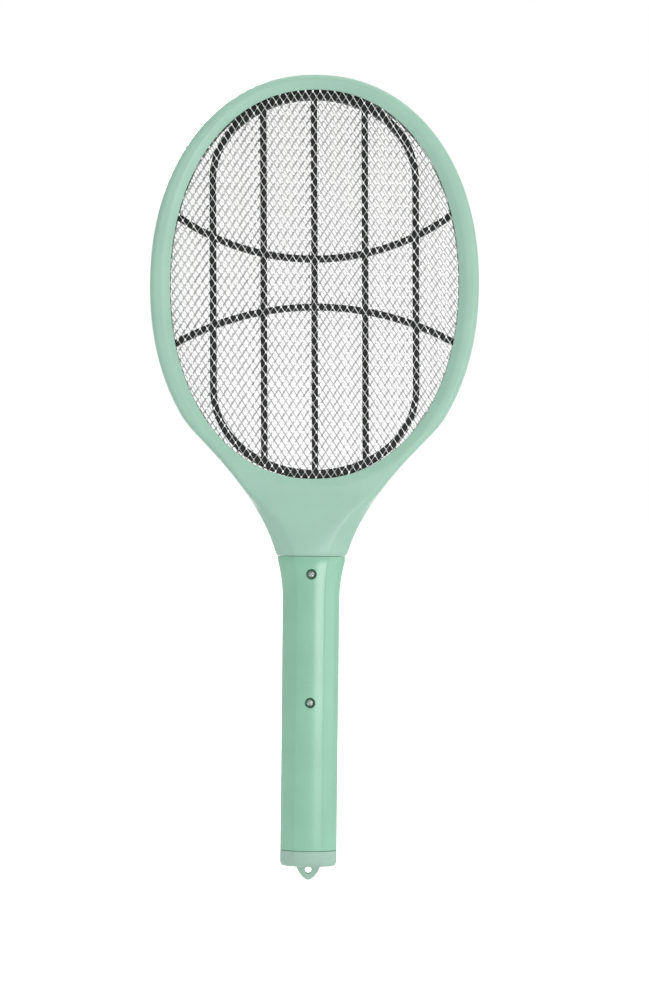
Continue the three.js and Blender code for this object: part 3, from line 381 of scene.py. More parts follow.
def rounded_path(corners, steps):
    """A path [(x, y)] through corners (x, y, fillet radius), each fillet drawn with that many steps."""
    path = []
    for i, (x, y, radius) in enumerate(corners):
        here = Vector((x, y))
        if radius == 0:
            path.append(here)
            continue
        back = (Vector(corners[i - 1][:2]) - here).normalized()
        ahead = (Vector(corners[i + 1][:2]) - here).normalized()
        half = back.angle(ahead) / 2
        reach = radius / math.tan(half)
        centre = here + (back + ahead).normalized() * (radius / math.sin(half))
        first, last = here + back * reach - centre, here + ahead * reach - centre
        turn = first.angle_signed(last)
        for k in range(steps + 1):
            angle = -turn * k / steps
            cos, sin = math.cos(angle), math.sin(angle)
            path.append(centre + Vector((first.x * cos - first.y * sin, first.x * sin + first.y * cos)))
    return path


def spread_evenly(path, count):
    """The same path with count points, evenly spaced along it."""
    lengths = [0.0]
    for a, b in zip(path, path[1:]):
        lengths.append(lengths[-1] + (b - a).length)
    made, segment = [], 0
    for k in range(count):
        want = lengths[-1] * k / (count - 1)
        while segment < len(path) - 2 and lengths[segment + 1] < want:
            segment += 1
        span = lengths[segment + 1] - lengths[segment] or 1.0
        made.append(path[segment].lerp(path[segment + 1], (want - lengths[segment]) / span))
    return made


def handle_corners(width, depth, edge_drop, crown):
    """Corners (inset, depth, fillet) of the handle's section, from its side to its broad face."""
    face = depth - edge_drop
    return [
        (0, SIDE_END * depth, SIDE_FILLET), (SHOULDER[0] * width, SHOULDER[1] * depth, SIDE_FILLET),
        (FACE_EDGE * width, face, FACE_FILLET),
        (FACE_NEXT * width, face + crown * (1 - INNER_SHARE), 0),
    ]


def section_profile(z, half_width, wall, count):
    """[(inset, depth)] from the parting plane round to the face, at height z."""
    depth = body_half_depth(z) - wall
    start = -PAST if wall else MATING_GAP / 2
    chamfer = 0.0 if wall else PARTING_CHAMFER
    foot = [(chamfer, start, 0), (0, start + chamfer, 0)]
    radius = RING_EDGE_RADIUS
    ring = rounded_path([*foot, (0, depth, radius), (radius + HAIR / 2, depth, 0)], 12)
    corners = handle_corners(half_width - wall, depth, EDGE_DROP, CROWN)
    handle = rounded_path(foot + corners, 6)
    share = handle_share(z)
    pairs = zip(spread_evenly(ring, count), spread_evenly(handle, count))
    return [tuple(a.lerp(b, share) + Vector((wall, 0))) for a, b in pairs]


def broad_face(edge_x, edge_y, crown, columns):
    """The points (x, y) between the two edges of a broad face that bulges by crown."""
    shares = [1 - 2 * k / columns for k in range(1, columns)]
    return [(edge_x * across, edge_y + crown * (1 - across**2)) for across in shares]


def half_body(name, outline, side, wall=0.0, count=34, columns=14, eased=None):
    """Half of the body over a half outline: side -1 is the rear, +1 the front. With a wall
    it is the cavity inside a shell of that thickness, cut from beyond the parting plane.
    eased is the index of the row at the seam, which is drawn in a little."""
    normals = outward_normals(outline)
    rows = []
    for (x, z), normal in zip(outline, normals):
        right = [
            (x - normal.x * inset, side * depth, z - normal.y * inset)
            for inset, depth in section_profile(z, x, wall, count)
        ]
        edge_x, edge_y, edge_z = right[-1]
        crown = side * CROWN * INNER_SHARE * handle_share(z)
        face = [(px, py, edge_z) for px, py in broad_face(edge_x, edge_y, crown, columns)]
        left = [(-px, py, pz) for px, py, pz in reversed(right)]
        rows.append(right + face + left)
    if eased is not None:
        rows[eased] = drawn_in(rows[eased])
    return loft(name, rows)


def half_cavity(outline, side, wall=WALL):
    """The inside of half the body, drawn with fewer points than the outside."""
    return half_body("tool", outline, side, wall=wall, count=14, columns=4)


def drawn_in(row):
    """The same row of points, drawn in towards the axis by SEAM_EASE."""
    width = max(x for x, _, _ in row)
    depth = max(abs(y) for _, y, _ in row)
    return [(x * (1 - SEAM_EASE / width), y * (1 - SEAM_EASE / depth), z) for x, y, z in row]


def opening_plug(layers, sides=240):
    """An oval plug through the head, of [(y, margin)] layers round the opening."""
    rings = []
    for y, margin in layers:
        wide, high = OPENING_HALF_WIDTH + margin, OPENING_HALF_HEIGHT + margin
        outline = [oval_point(wide, high, 2 * math.pi * i / sides) for i in range(sides)]
        rings.append([(x, y, z) for x, z in outline])
    return loft("tool", rings)


def straight_plug(margin, y0, y1):
    return opening_plug([(y0, margin), (y1, margin)])


def handle_section(half_width, half_depth, edge_drop=EDGE_DROP, crown=CROWN, steps=5, columns=14):
    """The handle's closed section, (x, y)."""
    corners = handle_corners(half_width, half_depth, edge_drop, crown)
    quarter = rounded_path([(0, 0, 0), *corners], steps)[1:]
    corner = [(half_width - p.x, p.y) for p in quarter]
    broad = broad_face(*corner[-1], crown * INNER_SHARE, columns)
    front = corner + broad + [(-x, y) for x, y in reversed(corner)]
    return front + [(-x, -y) for x, y in front]


def handle_ring(inset, z):
    section = handle_section(HANDLE_HALF_WIDTH - inset, HANDLE_HALF_DEPTH - inset)
    return [(x, y, z) for x, y in section]


# ---- head ----
def head_shell(name, side):
    seam = SEAM_Z + PARTING
    skin = half_body(name, head_outline(seam, 50, 150), side, eased=0)
    cut(skin, head_cavity(side, seam), mouth(side), *seat_room(side))

    outline = [(body_half_width(z), z) for z in (seam + HAIR, seam + BULKHEAD)]
    bulkhead = half_cavity(outline, side, WALL / 2)
    tongue = tongue_plug(0, seam + BULKHEAD - TONGUE_OVERLAP, 0)
    for solid in (bulkhead, tongue):
        own_half = side_block(side, REACH, (PARTING, REACH), (0, seam + BULKHEAD))
        combine(solid, [own_half], "INTERSECT")
        cut(solid, tongue_plug(TONGUE_WALL, seam + BULKHEAD + PAST, PAST))
    join(tongue, side_post(side, BOSS_RADIUS, (PARTING, TONGUE_HALF_DEPTH - PAST), 0, UPPER_SCREW_Z))
    cut(tongue, side_post(side, SCREW_HOLE, (-PAST, TONGUE_HALF_DEPTH + PAST), 0, UPPER_SCREW_Z))
    join(skin, bulkhead)
    join(skin, tongue)
    return shade(skin)


def mouth(side):
    """The opening with its two rounded edges and the slope between them."""
    layers = [(0, 0)]
    layers += [(side * (LIP_DEPTH + rise), out) for rise, out in LIP_EDGE]
    layers += [(side * (RING_HALF_DEPTH + rise), SLOPE_WIDTH + out) for rise, out in SLOPE_EDGE]
    return opening_plug(layers)


def seat_room(side):
    """The seat for sheets and grid, and the room for the soldering tabs below it."""
    return (
        straight_plug(SEAT_MARGIN, -side * PAST, side * SEAT_DEPTH),
        side_block(
            side, TAB_ROOM_HALF_WIDTH, (-PAST, SEAT_DEPTH), (CENTRE_LOW.z - 2 * PAST, TAB_ROOM_TOP_Z),
        ),
    )


def head_cavity(side, seam):
    """The hollow of ring and throat, outside the wall round the seat."""
    cavity = half_cavity(head_outline(seam - 2 * PAST, 24, 70), side)
    return cut(cavity, straight_plug(SEAT_MARGIN + SEAT_WALL, -side * 2 * PAST, side * REACH))


def tongue_plug(inset, top_z, extra):
    section = handle_section(TONGUE_HALF_WIDTH - inset, TONGUE_HALF_DEPTH - inset, 0, 0)
    return loft("tool", [[(x, y, z) for x, y in section] for z in (TONGUE_BOTTOM_Z - extra, top_z)])


# ---- expanded-metal sheets ----
MESH_PITCH_X, MESH_PITCH_Z, STRAND, STRAND_TILT = 4.4, 6.8, 0.34, 0.12
SHEET_SHARE = 0.75  # of the depth that the frame gives a sheet
SHEET_CLEARANCE = 0.1  # a sheet ends this far inside the edge of the grids
CLEAR_MARGIN = 1.9  # openings further out than this round the mouth are left filled
CELL_REACH = 1.3  # openings start up to this far beyond the rim, so that the last row is filled
TAB_MARGIN = 1.6  # a soldering tab ends this far outside the mouth, over the filled openings
BLUNT = 0.16  # share of each opening's tips that is cut off square


def opening_corners():
    """The eight corners of one long opening, (x, z), from its right-hand tip round to the left."""
    long_half, wide_half = MESH_PITCH_Z / 2, MESH_PITCH_X / 2
    slope = math.hypot(long_half, wide_half)
    clear_x = wide_half - STRAND / 2 * slope / long_half
    clear_z = long_half - STRAND / 2 * slope / wide_half
    side = (clear_x * (1 - BLUNT), clear_z * BLUNT)
    tip = (clear_x * BLUNT, clear_z * (1 - BLUNT))
    quarters = [(side, tip), (tip, side), (side, tip), (tip, side)]
    signs = [(1, 1), (-1, 1), (-1, -1), (1, -1)]
    return [(sx * x, sz * z) for (sx, sz), pair in zip(signs, quarters) for x, z in pair]


def rim_share(x, z, margin):
    """Below 1 inside the oval that lies margin outside the opening, above 1 outside it."""
    wide, high = OPENING_HALF_WIDTH + margin, OPENING_HALF_HEIGHT + margin
    return (abs(x / wide) ** FULLNESS + abs(z / high) ** FULLNESS) ** (1 / FULLNESS)


def expanded_sheet(name, low, high, tab_x, facing, phase):
    """A sheet of expanded metal: staggered long openings between tilted strands, a rim that
    the ring's lip hides, and a soldering tab. phase offsets its pattern from the next sheet's."""
    middle, half = (low.y + high.y) / 2, (high.y - low.y) / 2 * SHEET_SHARE
    rim = SHEET_MARGIN - SHEET_CLEARANCE
    columns = int((OPENING_HALF_WIDTH + rim) / MESH_PITCH_X) + 2
    rows = int((OPENING_HALF_HEIGHT + rim) / (MESH_PITCH_Z / 2)) + 2
    points, cells, faces = [], {}, []
    for row in range(-rows, rows + 1):
        for column in range(-columns, columns + 1):
            x = (column + row % 2 / 2 + phase) * MESH_PITCH_X
            z = (row / 2 + phase) * MESH_PITCH_Z
            if rim_share(x, z, rim + CELL_REACH) > 1:
                continue
            start = len(points)
            cells[(2 * column + row % 2, row)] = start
            for px, pz in opening_corners():
                beyond = max(rim_share(x + px, z + pz, rim), 1.0)
                lean = facing * STRAND_TILT * (1 if px > 0 else -1)
                points.append((
                    (x + px) / beyond, middle + lean, HEAD_CENTRE_Z + (z + pz) / beyond,
                ))
            if rim_share(x, z, CLEAR_MARGIN) > 1:
                faces.append([start + k for k in range(8)])
    for (u, v), here in cells.items():
        above_right, above_left = cells.get((u + 1, v + 1)), cells.get((u - 1, v + 1))
        right, below_right = cells.get((u + 2, v)), cells.get((u + 1, v - 1))
        if above_right is not None:
            faces.append([here, above_right + 5, above_right + 4, here + 1])
        if above_left is not None:
            faces.append([here + 2, above_left + 7, above_left + 6, here + 3])
        if None not in (above_right, right, below_right):
            faces.append([
                here + 7, below_right + 2, below_right + 1, right + 4, right + 3,
                above_right + 6, above_right + 5, here,
            ])
    sheet = thicken(name, points, faces, half)
    tab_top = HEAD_CENTRE_Z - OPENING_HALF_HEIGHT - TAB_MARGIN
    tab = block(
        "tool", (tab_x - TAB_HALF_WIDTH, middle - half, low.z),
        (tab_x + TAB_HALF_WIDTH, middle + half, tab_top),
    )
    return join(sheet, tab)


def thicken(name, points, faces, half):
    """A closed sheet from faces drawn in its middle plane, with a wall along each open edge."""
    count = len(points)
    solid = [tuple(face) for face in faces]
    solid += [tuple(count + corner for corner in reversed(face)) for face in faces]
    edges = {(a, b) for face in faces for a, b in zip(face, face[1:] + face[:1])}
    solid += [(b, a, count + a, count + b) for a, b in edges if (b, a) not in edges]
    layers = [(x, y - half, z) for x, y, z in points] + [(x, y + half, z) for x, y, z in points]
    return mesh_object(name, layers, solid)


# ---- spacer grids ----
def slab(name, outline, y0, y1):
    """A flat outline [(x, z)] made solid between two depths."""
    return loft(name, [[(x, y, z) for x, z in outline] for y in (y0, y1)])


def arc(x, z, wide, high, start, end, steps):
    angles = [math.radians(mix(start, end, i / steps)) for i in range(steps + 1)]
    return [(x + wide * math.cos(a), z + high * math.sin(a)) for a in angles]


def oval(grow, grow_ends):
    wide, high = OVAL_HALF_WIDTH + grow, OVAL_END_HEIGHT + grow_ends
    top = arc(0, HEAD_CENTRE_Z + OVAL_STRAIGHT, wide, high, 0, 180, 60)
    return top + arc(0, HEAD_CENTRE_Z - OVAL_STRAIGHT, wide, high, 180, 360, 60)


def curved_bar(up, radius, offset):
    """A curved bar across the head whose middle is nearest to the head's centre; up is 1 or -1."""
    centre = HEAD_CENTRE_Z + up * (offset + radius)
    spread = math.degrees(math.asin((OPENING_HALF_WIDTH + SHEET_MARGIN) / radius))
    outer, inner = radius + BAR_WIDTH / 2, radius - BAR_WIDTH / 2
    bar = arc(0, centre, outer, outer, -90 - spread, -90 + spread, 60)
    bar += arc(0, centre, inner, inner, -90 + spread, -90 - spread, 60)
    return [(x, 2 * centre - z if up < 0 else z) for x, z in bar]


def spacer_grid(name, low, high):
    """Straight and curved bars and an oval, inside a rim that the ring's lip covers."""
    y0, y1 = low.y, high.y
    half, half_end = BAR_WIDTH / 2, OVAL_END_AND_SHADE_WIDTH / 2
    outside = straight_plug(SHEET_MARGIN, y0, y1)
    rim = straight_plug(SHEET_MARGIN, y0, y1)
    cut(rim, straight_plug(GRID_RIM_INSET, y0 - PAST, y1 + PAST))
    # The oval's wide dark ends are partly painted shade at the ring's inner edge.
    grid = slab(name, oval(half, half_end), y0, y1)
    cut(grid, slab("tool", oval(-half, -half_end), y0 - PAST, y1 + PAST))
    reach = OVAL_STRAIGHT + OVAL_END_HEIGHT
    bars = []
    for place, share in ((-1, OUTER_BAR_SHARE), (0, MIDDLE_BAR_SHARE), (1, OUTER_BAR_SHARE)):
        x, end = place * BAR_PITCH, reach * share
        bars.append(block(
            "tool", (x - half, y0, HEAD_CENTRE_Z - end), (x + half, y1, HEAD_CENTRE_Z + end),
        ))
    join(grid, *bars)
    join(grid, *[slab("tool", curved_bar(*bar), y0, y1) for bar in CURVED_BARS])
    shift(grid, z=-HEAD_CENTRE_Z)
    grid.data.transform(Matrix.Rotation(BARS_TURN, 4, "Y"))
    shift(grid, z=HEAD_CENTRE_Z)
    combine(grid, [outside], "INTERSECT")
    join(grid, rim)
    return shade(bevel(grid, 0.3))


# ---- handle ----
def handle_outline(bottom, top, rows):
    heights = [mix(bottom, top, i / rows) for i in range(rows + 1)]
    return [(body_half_width(z), z) for z in heights]


def chamfered_hole(side, radius, floor, x, z, sides=48):
    """A hole from depth floor out through the face, with a small chamfer at the face."""
    face, edge = FACE_DEPTH, HOLE_CHAMFER
    profile = [
        (0, floor), (radius, floor), (radius, face - edge), (radius + edge, face),
        (radius + edge, face + 2 * PAST), (0, face + 2 * PAST),
    ]
    return shift(lathe("tool", [(r, side * y) for r, y in profile], sides), x=x, z=z)


def handle_shell(name, side):
    bottom, top = HANDLE_BOTTOM_Z, SEAM_Z - PARTING
    skin = half_body(name, handle_outline(bottom, top, 60), side, eased=-1)
    cut(skin, half_cavity(handle_outline(bottom - 2 * PAST, top + 2 * PAST, 30), side))
    join(skin, *screw_bosses(side), *carrier_ribs(side), *board_posts(side))
    return shade(cut(skin, *(rear_holes() if side < 0 else front_holes())))


def screw_bosses(side):
    """The lower boss starts at the parting plane, the upper one beyond the head's tongue."""
    starts = ((LOWER_SCREW_Z, PARTING), (UPPER_SCREW_Z, TONGUE_HALF_DEPTH + GAP))
    return [
        side_post(side, BOSS_RADIUS, (start, INNER_HALF_DEPTH + BOSS_OVERLAP), 0, z)
        for z, start in starts
    ]


def carrier_ribs(side):
    """The two ribs that hold the contact carrier between them."""
    depths = (INNER_HALF_DEPTH - CARRIER_RIB_HEIGHT, INNER_HALF_DEPTH + CROWN)
    return [
        side_block(side, CARRIER_RIB_HALF_WIDTH, depths, (z, z + CARRIER_RIB))
        for z in (CARRIER_HIGH.z + GAP, CARRIER_LOW.z - GAP - CARRIER_RIB)
    ]


def board_posts(side):
    """Four posts that stop just short of the circuit board."""
    stop = GAP - BOARD_LOW.y if side < 0 else GAP + BOARD_HIGH.y
    depths = (stop, BOARD_POST_END)
    return [
        side_post(side, BOARD_POST_RADIUS, depths, x, z, sides=24)
        for x in (-BOARD_POST_X, BOARD_POST_X) for z in BOARD_POST_HEIGHTS
    ]


def rear_holes():
    holes = []
    for z in SCREW_HEIGHTS.values():
        holes.append(chamfered_hole(-1, RECESS_RADIUS, RECESS_FLOOR, 0, z))
        holes.append(side_post(-1, SCREW_HOLE, (-PAST, HANDLE_HALF_DEPTH), 0, z))
    return holes


def front_holes():
    """Pilot holes for the screws, and the openings for button, lamp and power switch."""
    holes = [side_post(1, SCREW_HOLE, (-PAST, INNER_HALF_DEPTH), 0, z) for z in SCREW_HEIGHTS.values()]
    holes.append(stadium_solid("tool", BUTTON_RADIUS + GAP, [
        (0, CONTROLS_DEPTH), (0, BUTTON_MOUTH_DEPTH),
        (-BUTTON_MOUTH_SPREAD, HANDLE_HALF_DEPTH + 3 * PAST),
    ]))
    holes.append(chamfered_hole(1, LED_RADIUS + GAP, CONTROLS_DEPTH, 0, LED_Z))
    slot = KNOB_TRAVEL / 2 + SLOT_END
    holes.append(block(
        "tool", (-SLOT_HALF_WIDTH, CONTROLS_DEPTH, TRAY_Z - slot),
        (SLOT_HALF_WIDTH, REACH, TRAY_Z + slot),
    ))
    wide = KNOB_HALF_WIDTH + TRAY_MARGIN
    long = KNOB_HALF_LENGTH + KNOB_TRAVEL / 2 + TRAY_MARGIN
    tray = block(
        "tool", (-wide, HANDLE_HALF_DEPTH - TRAY_DEPTH, TRAY_Z - long),
        (wide, HANDLE_HALF_DEPTH + 2 * PAST, TRAY_Z + long),
    )
    holes.append(bevel(tray, 0.35))
    return holes


def stadium(radius, half_straight, centre, steps=24):
    top = arc(0, centre + half_straight, radius, radius, 0, 180, steps)
    return top + arc(0, centre - half_straight, radius, radius, 180, 360, steps)


def stadium_solid(name, radius, layers):
    """A solid of button-shaped rings; layers lists (inset, y), and a ring may not turn back."""
    rings = []
    for inset, y in layers:
        outline = stadium(radius - inset, BUTTON_HALF_STRAIGHT, BUTTON_Z)
        rings.append([(x, y, z) for x, z in outline])
    return loft(name, rings)


def end_cap(name):
    cup = join(cap_cup(name), cap_spigot())
    bore_inset = WALL + GAP + SPIGOT_WALL
    cut(cup, loft("tool", [
        handle_ring(bore_inset, CAP_HIGH.z + PAST), handle_ring(bore_inset, CAP_BOTTOM_Z + CAP_FLOOR),
    ]))
    tab = slab("tool", eye_outline(), -EYE_HALF_THICKNESS, EYE_HALF_THICKNESS)
    join(cup, bevel(tab, 0.7, segments=4))
    return shade(cut(cup, eye_hole()))


def cap_cup(name, steps=10):
    """The cap's outside, with a small edge at its rim and a round one at its foot."""
    rings = [handle_ring(CAP_EDGE, CAP_RIM_Z), handle_ring(0, CAP_RIM_Z - CAP_EDGE)]
    for angle in quarter_turn(steps):
        rings.append(handle_ring(
            CAP_ROUND_INSET * (1 - math.cos(angle)),
            CAP_BOTTOM_Z + CAP_ROUND_HEIGHT * (1 - math.sin(angle)),
        ))
    return loft(name, rings)


def cap_spigot():
    """The part that plugs into the handle."""
    inset, top = WALL + GAP, CAP_HIGH.z
    return loft("tool", [
        handle_ring(inset + SPIGOT_EDGE, top), handle_ring(inset, top - SPIGOT_EDGE),
        handle_ring(inset, CAP_RIM_Z - PAST),
    ])


def eye_outline():
    """The hanging tab's outline, drawn down one side to a soft point and up the other."""
    wide, tip = EYE_HALF_WIDTH, CAP_LOW.z
    corners = [
        (wide, CAP_BOTTOM_Z + EYE_BASE_RISE), (wide, CAP_BOTTOM_Z - EYE_SHOULDER_DROP),
        (EYE_TIP_HALF_WIDTH, tip + EYE_TIP_RISE), (EYE_TIP_RISE, tip),
    ]
    right = [cubic(corners, step / 24) for step in range(25)]
    return right + [(-x, z) for x, z in reversed(right)]


def eye_hole():
    """The round hole through the tab, widening towards both of its faces."""
    face, waist = EYE_HALF_THICKNESS + PAST, EYE_HALF_THICKNESS - EYE_FLARE_DEPTH
    wide = EYE_HOLE + EYE_FLARE
    profile = [(0, -face), (wide, -face), (EYE_HOLE, -waist), (EYE_HOLE, waist), (wide, face), (0, face)]
    return shift(lathe("tool", profile), z=EYE_Z)


# ---- screws and controls ----
TAIL_SLOT_HALF_WIDTH, TAIL_SLOT_HALF_DEPTH = 1.7, 0.7
SCREW_HEAD_RADIUS, SCREW_HEAD_HEIGHT, SCREW_CROWN, SCREW_HEAD_EDGE = 2.6, 2.0, 1.2, 0.1
SHANK_RADIUS, SCREW_POINT = 1.25, 1.5
CROSS_ARM, CROSS_HALF_WIDTH = 1.5, 0.3
CROSS_TAPER = ((1.1, -0.5), (1.0, 0.1), (0.55, 1.1))  # (share of the cross's size, depth in the head)
BUTTON_ROUNDING, BUTTON_WALL, BUTTON_TOP_WALL = 1.1, 1.6, 2.4
BUTTON_STEM_RADIUS, BUTTON_STEM_TOP = 2.2, 1.8
DISH_DEPTH, DISH_INSETS = 0.55, (0.4, 0.9, 1.5, 2.1, 2.9, 3.7)
RIDGE_HEIGHT, RIDGE_PITCH, RIDGE_HALF_WIDTH, RIDGE_HALF_LENGTH = 0.6, 1.3, 3.5, 0.35
KNOB_STEM, KNOB_SINK = 1.4, 0.4  # the stem's half width; how far stem and ridges sink into the knob
KNOB_PLATE_HALF_WIDTH, KNOB_PLATE_HALF_LENGTH, KNOB_PLATE_DEPTHS = 3.4, 2.4, (8.5, 10.1)
LED_HEIGHT, LED_RIM_RADIUS, LED_RIM_HEIGHT = 8.0, 2.9, 1.0
LED_LEG_X, LED_LEG_HALF_WIDTH, LED_LEG_SINK = 1.27, 0.25, 0.5


def contact_carrier(name):
    """The plate between cells and board, with a slot for each contact's solder tail."""
    plate = loft(name, [handle_ring(WALL + GAP, z) for z in (CARRIER_LOW.z, CARRIER_HIGH.z)])
    wide, deep = TAIL_SLOT_HALF_WIDTH, TAIL_SLOT_HALF_DEPTH
    slots = [
        block("tool", (x - wide, -deep, CARRIER_LOW.z - PAST), (x + wide, deep, CARRIER_HIGH.z + PAST))
        for x in (-CELL_X, CELL_X)
    ]
    return shade(bevel(cut(plate, *slots), 0.15))


def screw(name):
    """A pan-head screw with a cross recess, driven from the rear into the front shell."""
    low, high = box_mm(name)
    head, edge = SCREW_HEAD_RADIUS, SCREW_HEAD_EDGE
    seat, tip = low.y + SCREW_HEAD_HEIGHT, high.y
    crown = [
        (head * math.sin(a), low.y + SCREW_CROWN * (1 - math.cos(a))) for a in quarter_turn(8)
    ]
    body = lathe(name, [
        (0, low.y), *crown[1:], (head, seat - edge), (head - edge, seat), (SHANK_RADIUS, seat),
        (SHANK_RADIUS, tip - SCREW_POINT), (0, tip),
    ])
    shift(body, z=SCREW_HEIGHTS[name])
    for wide, long in ((CROSS_ARM, CROSS_HALF_WIDTH), (CROSS_HALF_WIDTH, CROSS_ARM)):
        rings = [
            rectangle(wide * share, long * share, low.y + depth, SCREW_HEIGHTS[name])
            for share, depth in CROSS_TAPER
        ]
        cut(body, loft("tool", rings))
    return shade(body)


def rectangle(wide, long, y, z):
    """The corners of a rectangle at depth y, centred on x = 0 and on height z."""
    return [(wide, y, z + long), (-wide, y, z + long), (-wide, y, z - long), (wide, y, z - long)]


def trigger_button(name):
    """The button: a flange that keeps it in the shell, a rounded rim, a dished top and a stem."""
    skirt, top = BUTTON_LOW.y, BUTTON_HIGH.y
    flange = FLANGE_TRIM - BUTTON_FLANGE
    rounding = [
        (BUTTON_ROUNDING * (1 - math.cos(a)), top - BUTTON_ROUNDING * (1 - math.sin(a)))
        for a in quarter_turn(8)
    ]
    dish = [
        (BUTTON_ROUNDING + inset, top - DISH_DEPTH * smooth(inset / DISH_INSETS[-1]))
        for inset in DISH_INSETS
    ]
    button = stadium_solid(name, BUTTON_RADIUS, [
        (flange, skirt), (flange, skirt + BUTTON_FLANGE), (0, skirt + BUTTON_FLANGE),
        *rounding, *dish,
    ])
    cut(button, stadium_solid("tool", BUTTON_RADIUS, [
        (BUTTON_WALL, skirt - PAST), (BUTTON_WALL, top - BUTTON_TOP_WALL),
    ]))
    start, end = box_mm("push_switch_plunger")[1].y + GAP, top - BUTTON_STEM_TOP
    stem = lathe("tool", [(0, start), (BUTTON_STEM_RADIUS, start), (BUTTON_STEM_RADIUS, end), (0, end)])
    return shade(join(button, shift(stem, z=BUTTON_Z)))


def power_knob(name):
    """The knob in its tray, with ridges for the thumb, a stem and the plate that holds it in."""
    base = KNOB_HIGH.y - RIDGE_HEIGHT
    tray = HANDLE_HALF_DEPTH - TRAY_DEPTH + GAP
    knob = block(
        name, (-KNOB_HALF_WIDTH, tray, KNOB_LOW.z), (KNOB_HALF_WIDTH, base, KNOB_HIGH.z),
    )
    bevel(knob, 0.5, segments=4)
    parts = [
        knob_block(KNOB_STEM, KNOB_STEM, (KNOB_LOW.y, base - KNOB_SINK)),
        knob_block(KNOB_PLATE_HALF_WIDTH, KNOB_PLATE_HALF_LENGTH, KNOB_PLATE_DEPTHS),
    ]
    for step in range(-2, 3):
        depths = (base - KNOB_SINK, KNOB_HIGH.y)
        ridge = knob_block(RIDGE_HALF_WIDTH, RIDGE_HALF_LENGTH, depths, RIDGE_PITCH * step)
        parts.append(bevel(ridge, 0.2, segments=3))
    return shade(join(knob, *parts))


def knob_block(half_width, half_length, depths, rise=0.0):
    z = KNOB_Z + rise
    return side_block(1, half_width, depths, (z - half_length, z + half_length))


def indicator_led(name):
    seat, top = LED_HIGH.y - LED_HEIGHT, LED_HIGH.y
    rim = seat + LED_RIM_HEIGHT
    dome = [
        (LED_RADIUS * math.cos(a), top - LED_RADIUS * (1 - math.sin(a))) for a in quarter_turn(10)
    ]
    led = lathe(name, [
        (0, seat), (LED_RIM_RADIUS, seat), (LED_RIM_RADIUS, rim), (LED_RADIUS, rim),
        *dome[:-1], (0, top),
    ])
    half = LED_LEG_HALF_WIDTH
    legs = [
        block("tool", (x - half, LED_LOW.y, LED_Z - half), (x + half, seat + LED_LEG_SINK, LED_Z + half))
        for x in (-LED_LEG_X, LED_LEG_X)
    ]
    return shade(join(shift(led, z=LED_Z), *legs))


# ---- springs and leads ----
def rod(name, path, radius, sides=12):
    """A round rod along a path of points, its section carried along without twisting."""
    path = [Vector(p) for p in path]
    rings, across = [], None
    for i, here in enumerate(path):
        along = (path[min(i + 1, len(path) - 1)] - path[max(i - 1, 0)]).normalized()
        if across is None:
            across = along.orthogonal().normalized()
        across = (across - along * across.dot(along)).normalized()
        other = along.cross(across)
        rings.append([
            here + (across * math.cos(a) + other * math.sin(a)) * radius
            for a in (2 * math.pi * k / sides for k in range(sides))
        ])
    return loft(name, rings)


def through(points, steps=10):
    """A smooth path through the points, as a Catmull-Rom curve."""
    points = [Vector(p) for p in points]
    ends = [2 * points[0] - points[1], *points, 2 * points[-1] - points[-2]]
    path = []
    for a, b, c, d in zip(ends, ends[1:], ends[2:], ends[3:]):
        for k in range(steps):
            t = k / steps
            path.append(0.5 * (
                2 * b + (c - a) * t + (2 * a - 5 * b + 4 * c - d) * t**2
                + (3 * b - a - 3 * c + d) * t**3
            ))
    return [*path, points[-1]]


def coil(x, start_z, end_z, wide, narrow, wire, turns=3.5, steps=140):
    """The path of a conical spring's wire, from its wide end to its narrow one."""
    path = []
    for i in range(steps + 1):
        share = i / steps
        angle = 2 * math.pi * turns * share
        radius = mix(wide, narrow, share)
        path.append((
            x + radius * math.cos(angle), radius * math.sin(angle),
            mix(start_z, end_z, share) + math.copysign(wire, end_z - start_z) * (1 - 2 * share),
        ))
    return path


SPRING_WIRE, SPRING_WIDE, SPRING_NARROW = 0.45, 3.55, 2.2  # radii of the wire and of its turns


def spring(name):
    """The spring of a cell's flat end; it narrows towards the cell."""
    low, high = box_mm(name)
    x = math.copysign(CELL_X, low.x + high.x)
    ends = (high.z, low.z) if x > 0 else (low.z, high.z)
    return shade(rod(name, coil(x, *ends, SPRING_WIDE, SPRING_NARROW, SPRING_WIRE), SPRING_WIRE))


BOARD_END_Y = BOARD_LOW.y - GAP - LEAD_RADIUS
LEAD_ROUTES = {
    "rear_guard_lead": [
        (-5, BOARD_END_Y, 60), (-6, -2, 68), (-7.4, -1.8, 80), (-8, -2, 97), (-8.8, -3, 117),
        (-9, -3.5, 131),
    ],
    "centre_mesh_lead": [
        (0, BOARD_END_Y, 60), (1.6, -2, 67), (5.2, -2.2, 78), (5.4, -2.2, 90), (2, -1.6, 112),
        (0, -1.4, 131),
    ],
    "front_guard_lead": [
        (5, BOARD_END_Y, 60), (6, -2, 68), (8.2, -0.6, 79), (8.6, 1, 97), (9, 2.8, 117),
        (9, 3.5, 131),
    ],
    "battery_lead_positive": [(-7.4, 1.5, -16.4), (-7.6, 3, -6), (-6.4, 3.4, 6), (-5.4, 2, 16)],
    "battery_lead_negative": [(7.4, 1.5, -16.4), (7.6, 3, -6), (6.4, 3.4, 6), (5.4, 2, 16)],
}


def lead(name):
    return shade(rod(name, through(LEAD_ROUTES[name]), LEAD_RADIUS, sides=14))


# ---- materials ----
def new_material(name):
    made = bpy.data.materials.new(name)
    made.use_nodes = True
    return made, made.node_tree.nodes, made.node_tree.links


def set_inputs(node, **values):
    """Sets a shader node's inputs; an underscore in a name stands for a space."""
    for name, value in values.items():
        node.inputs[name.replace("_", " ")].default_value = value


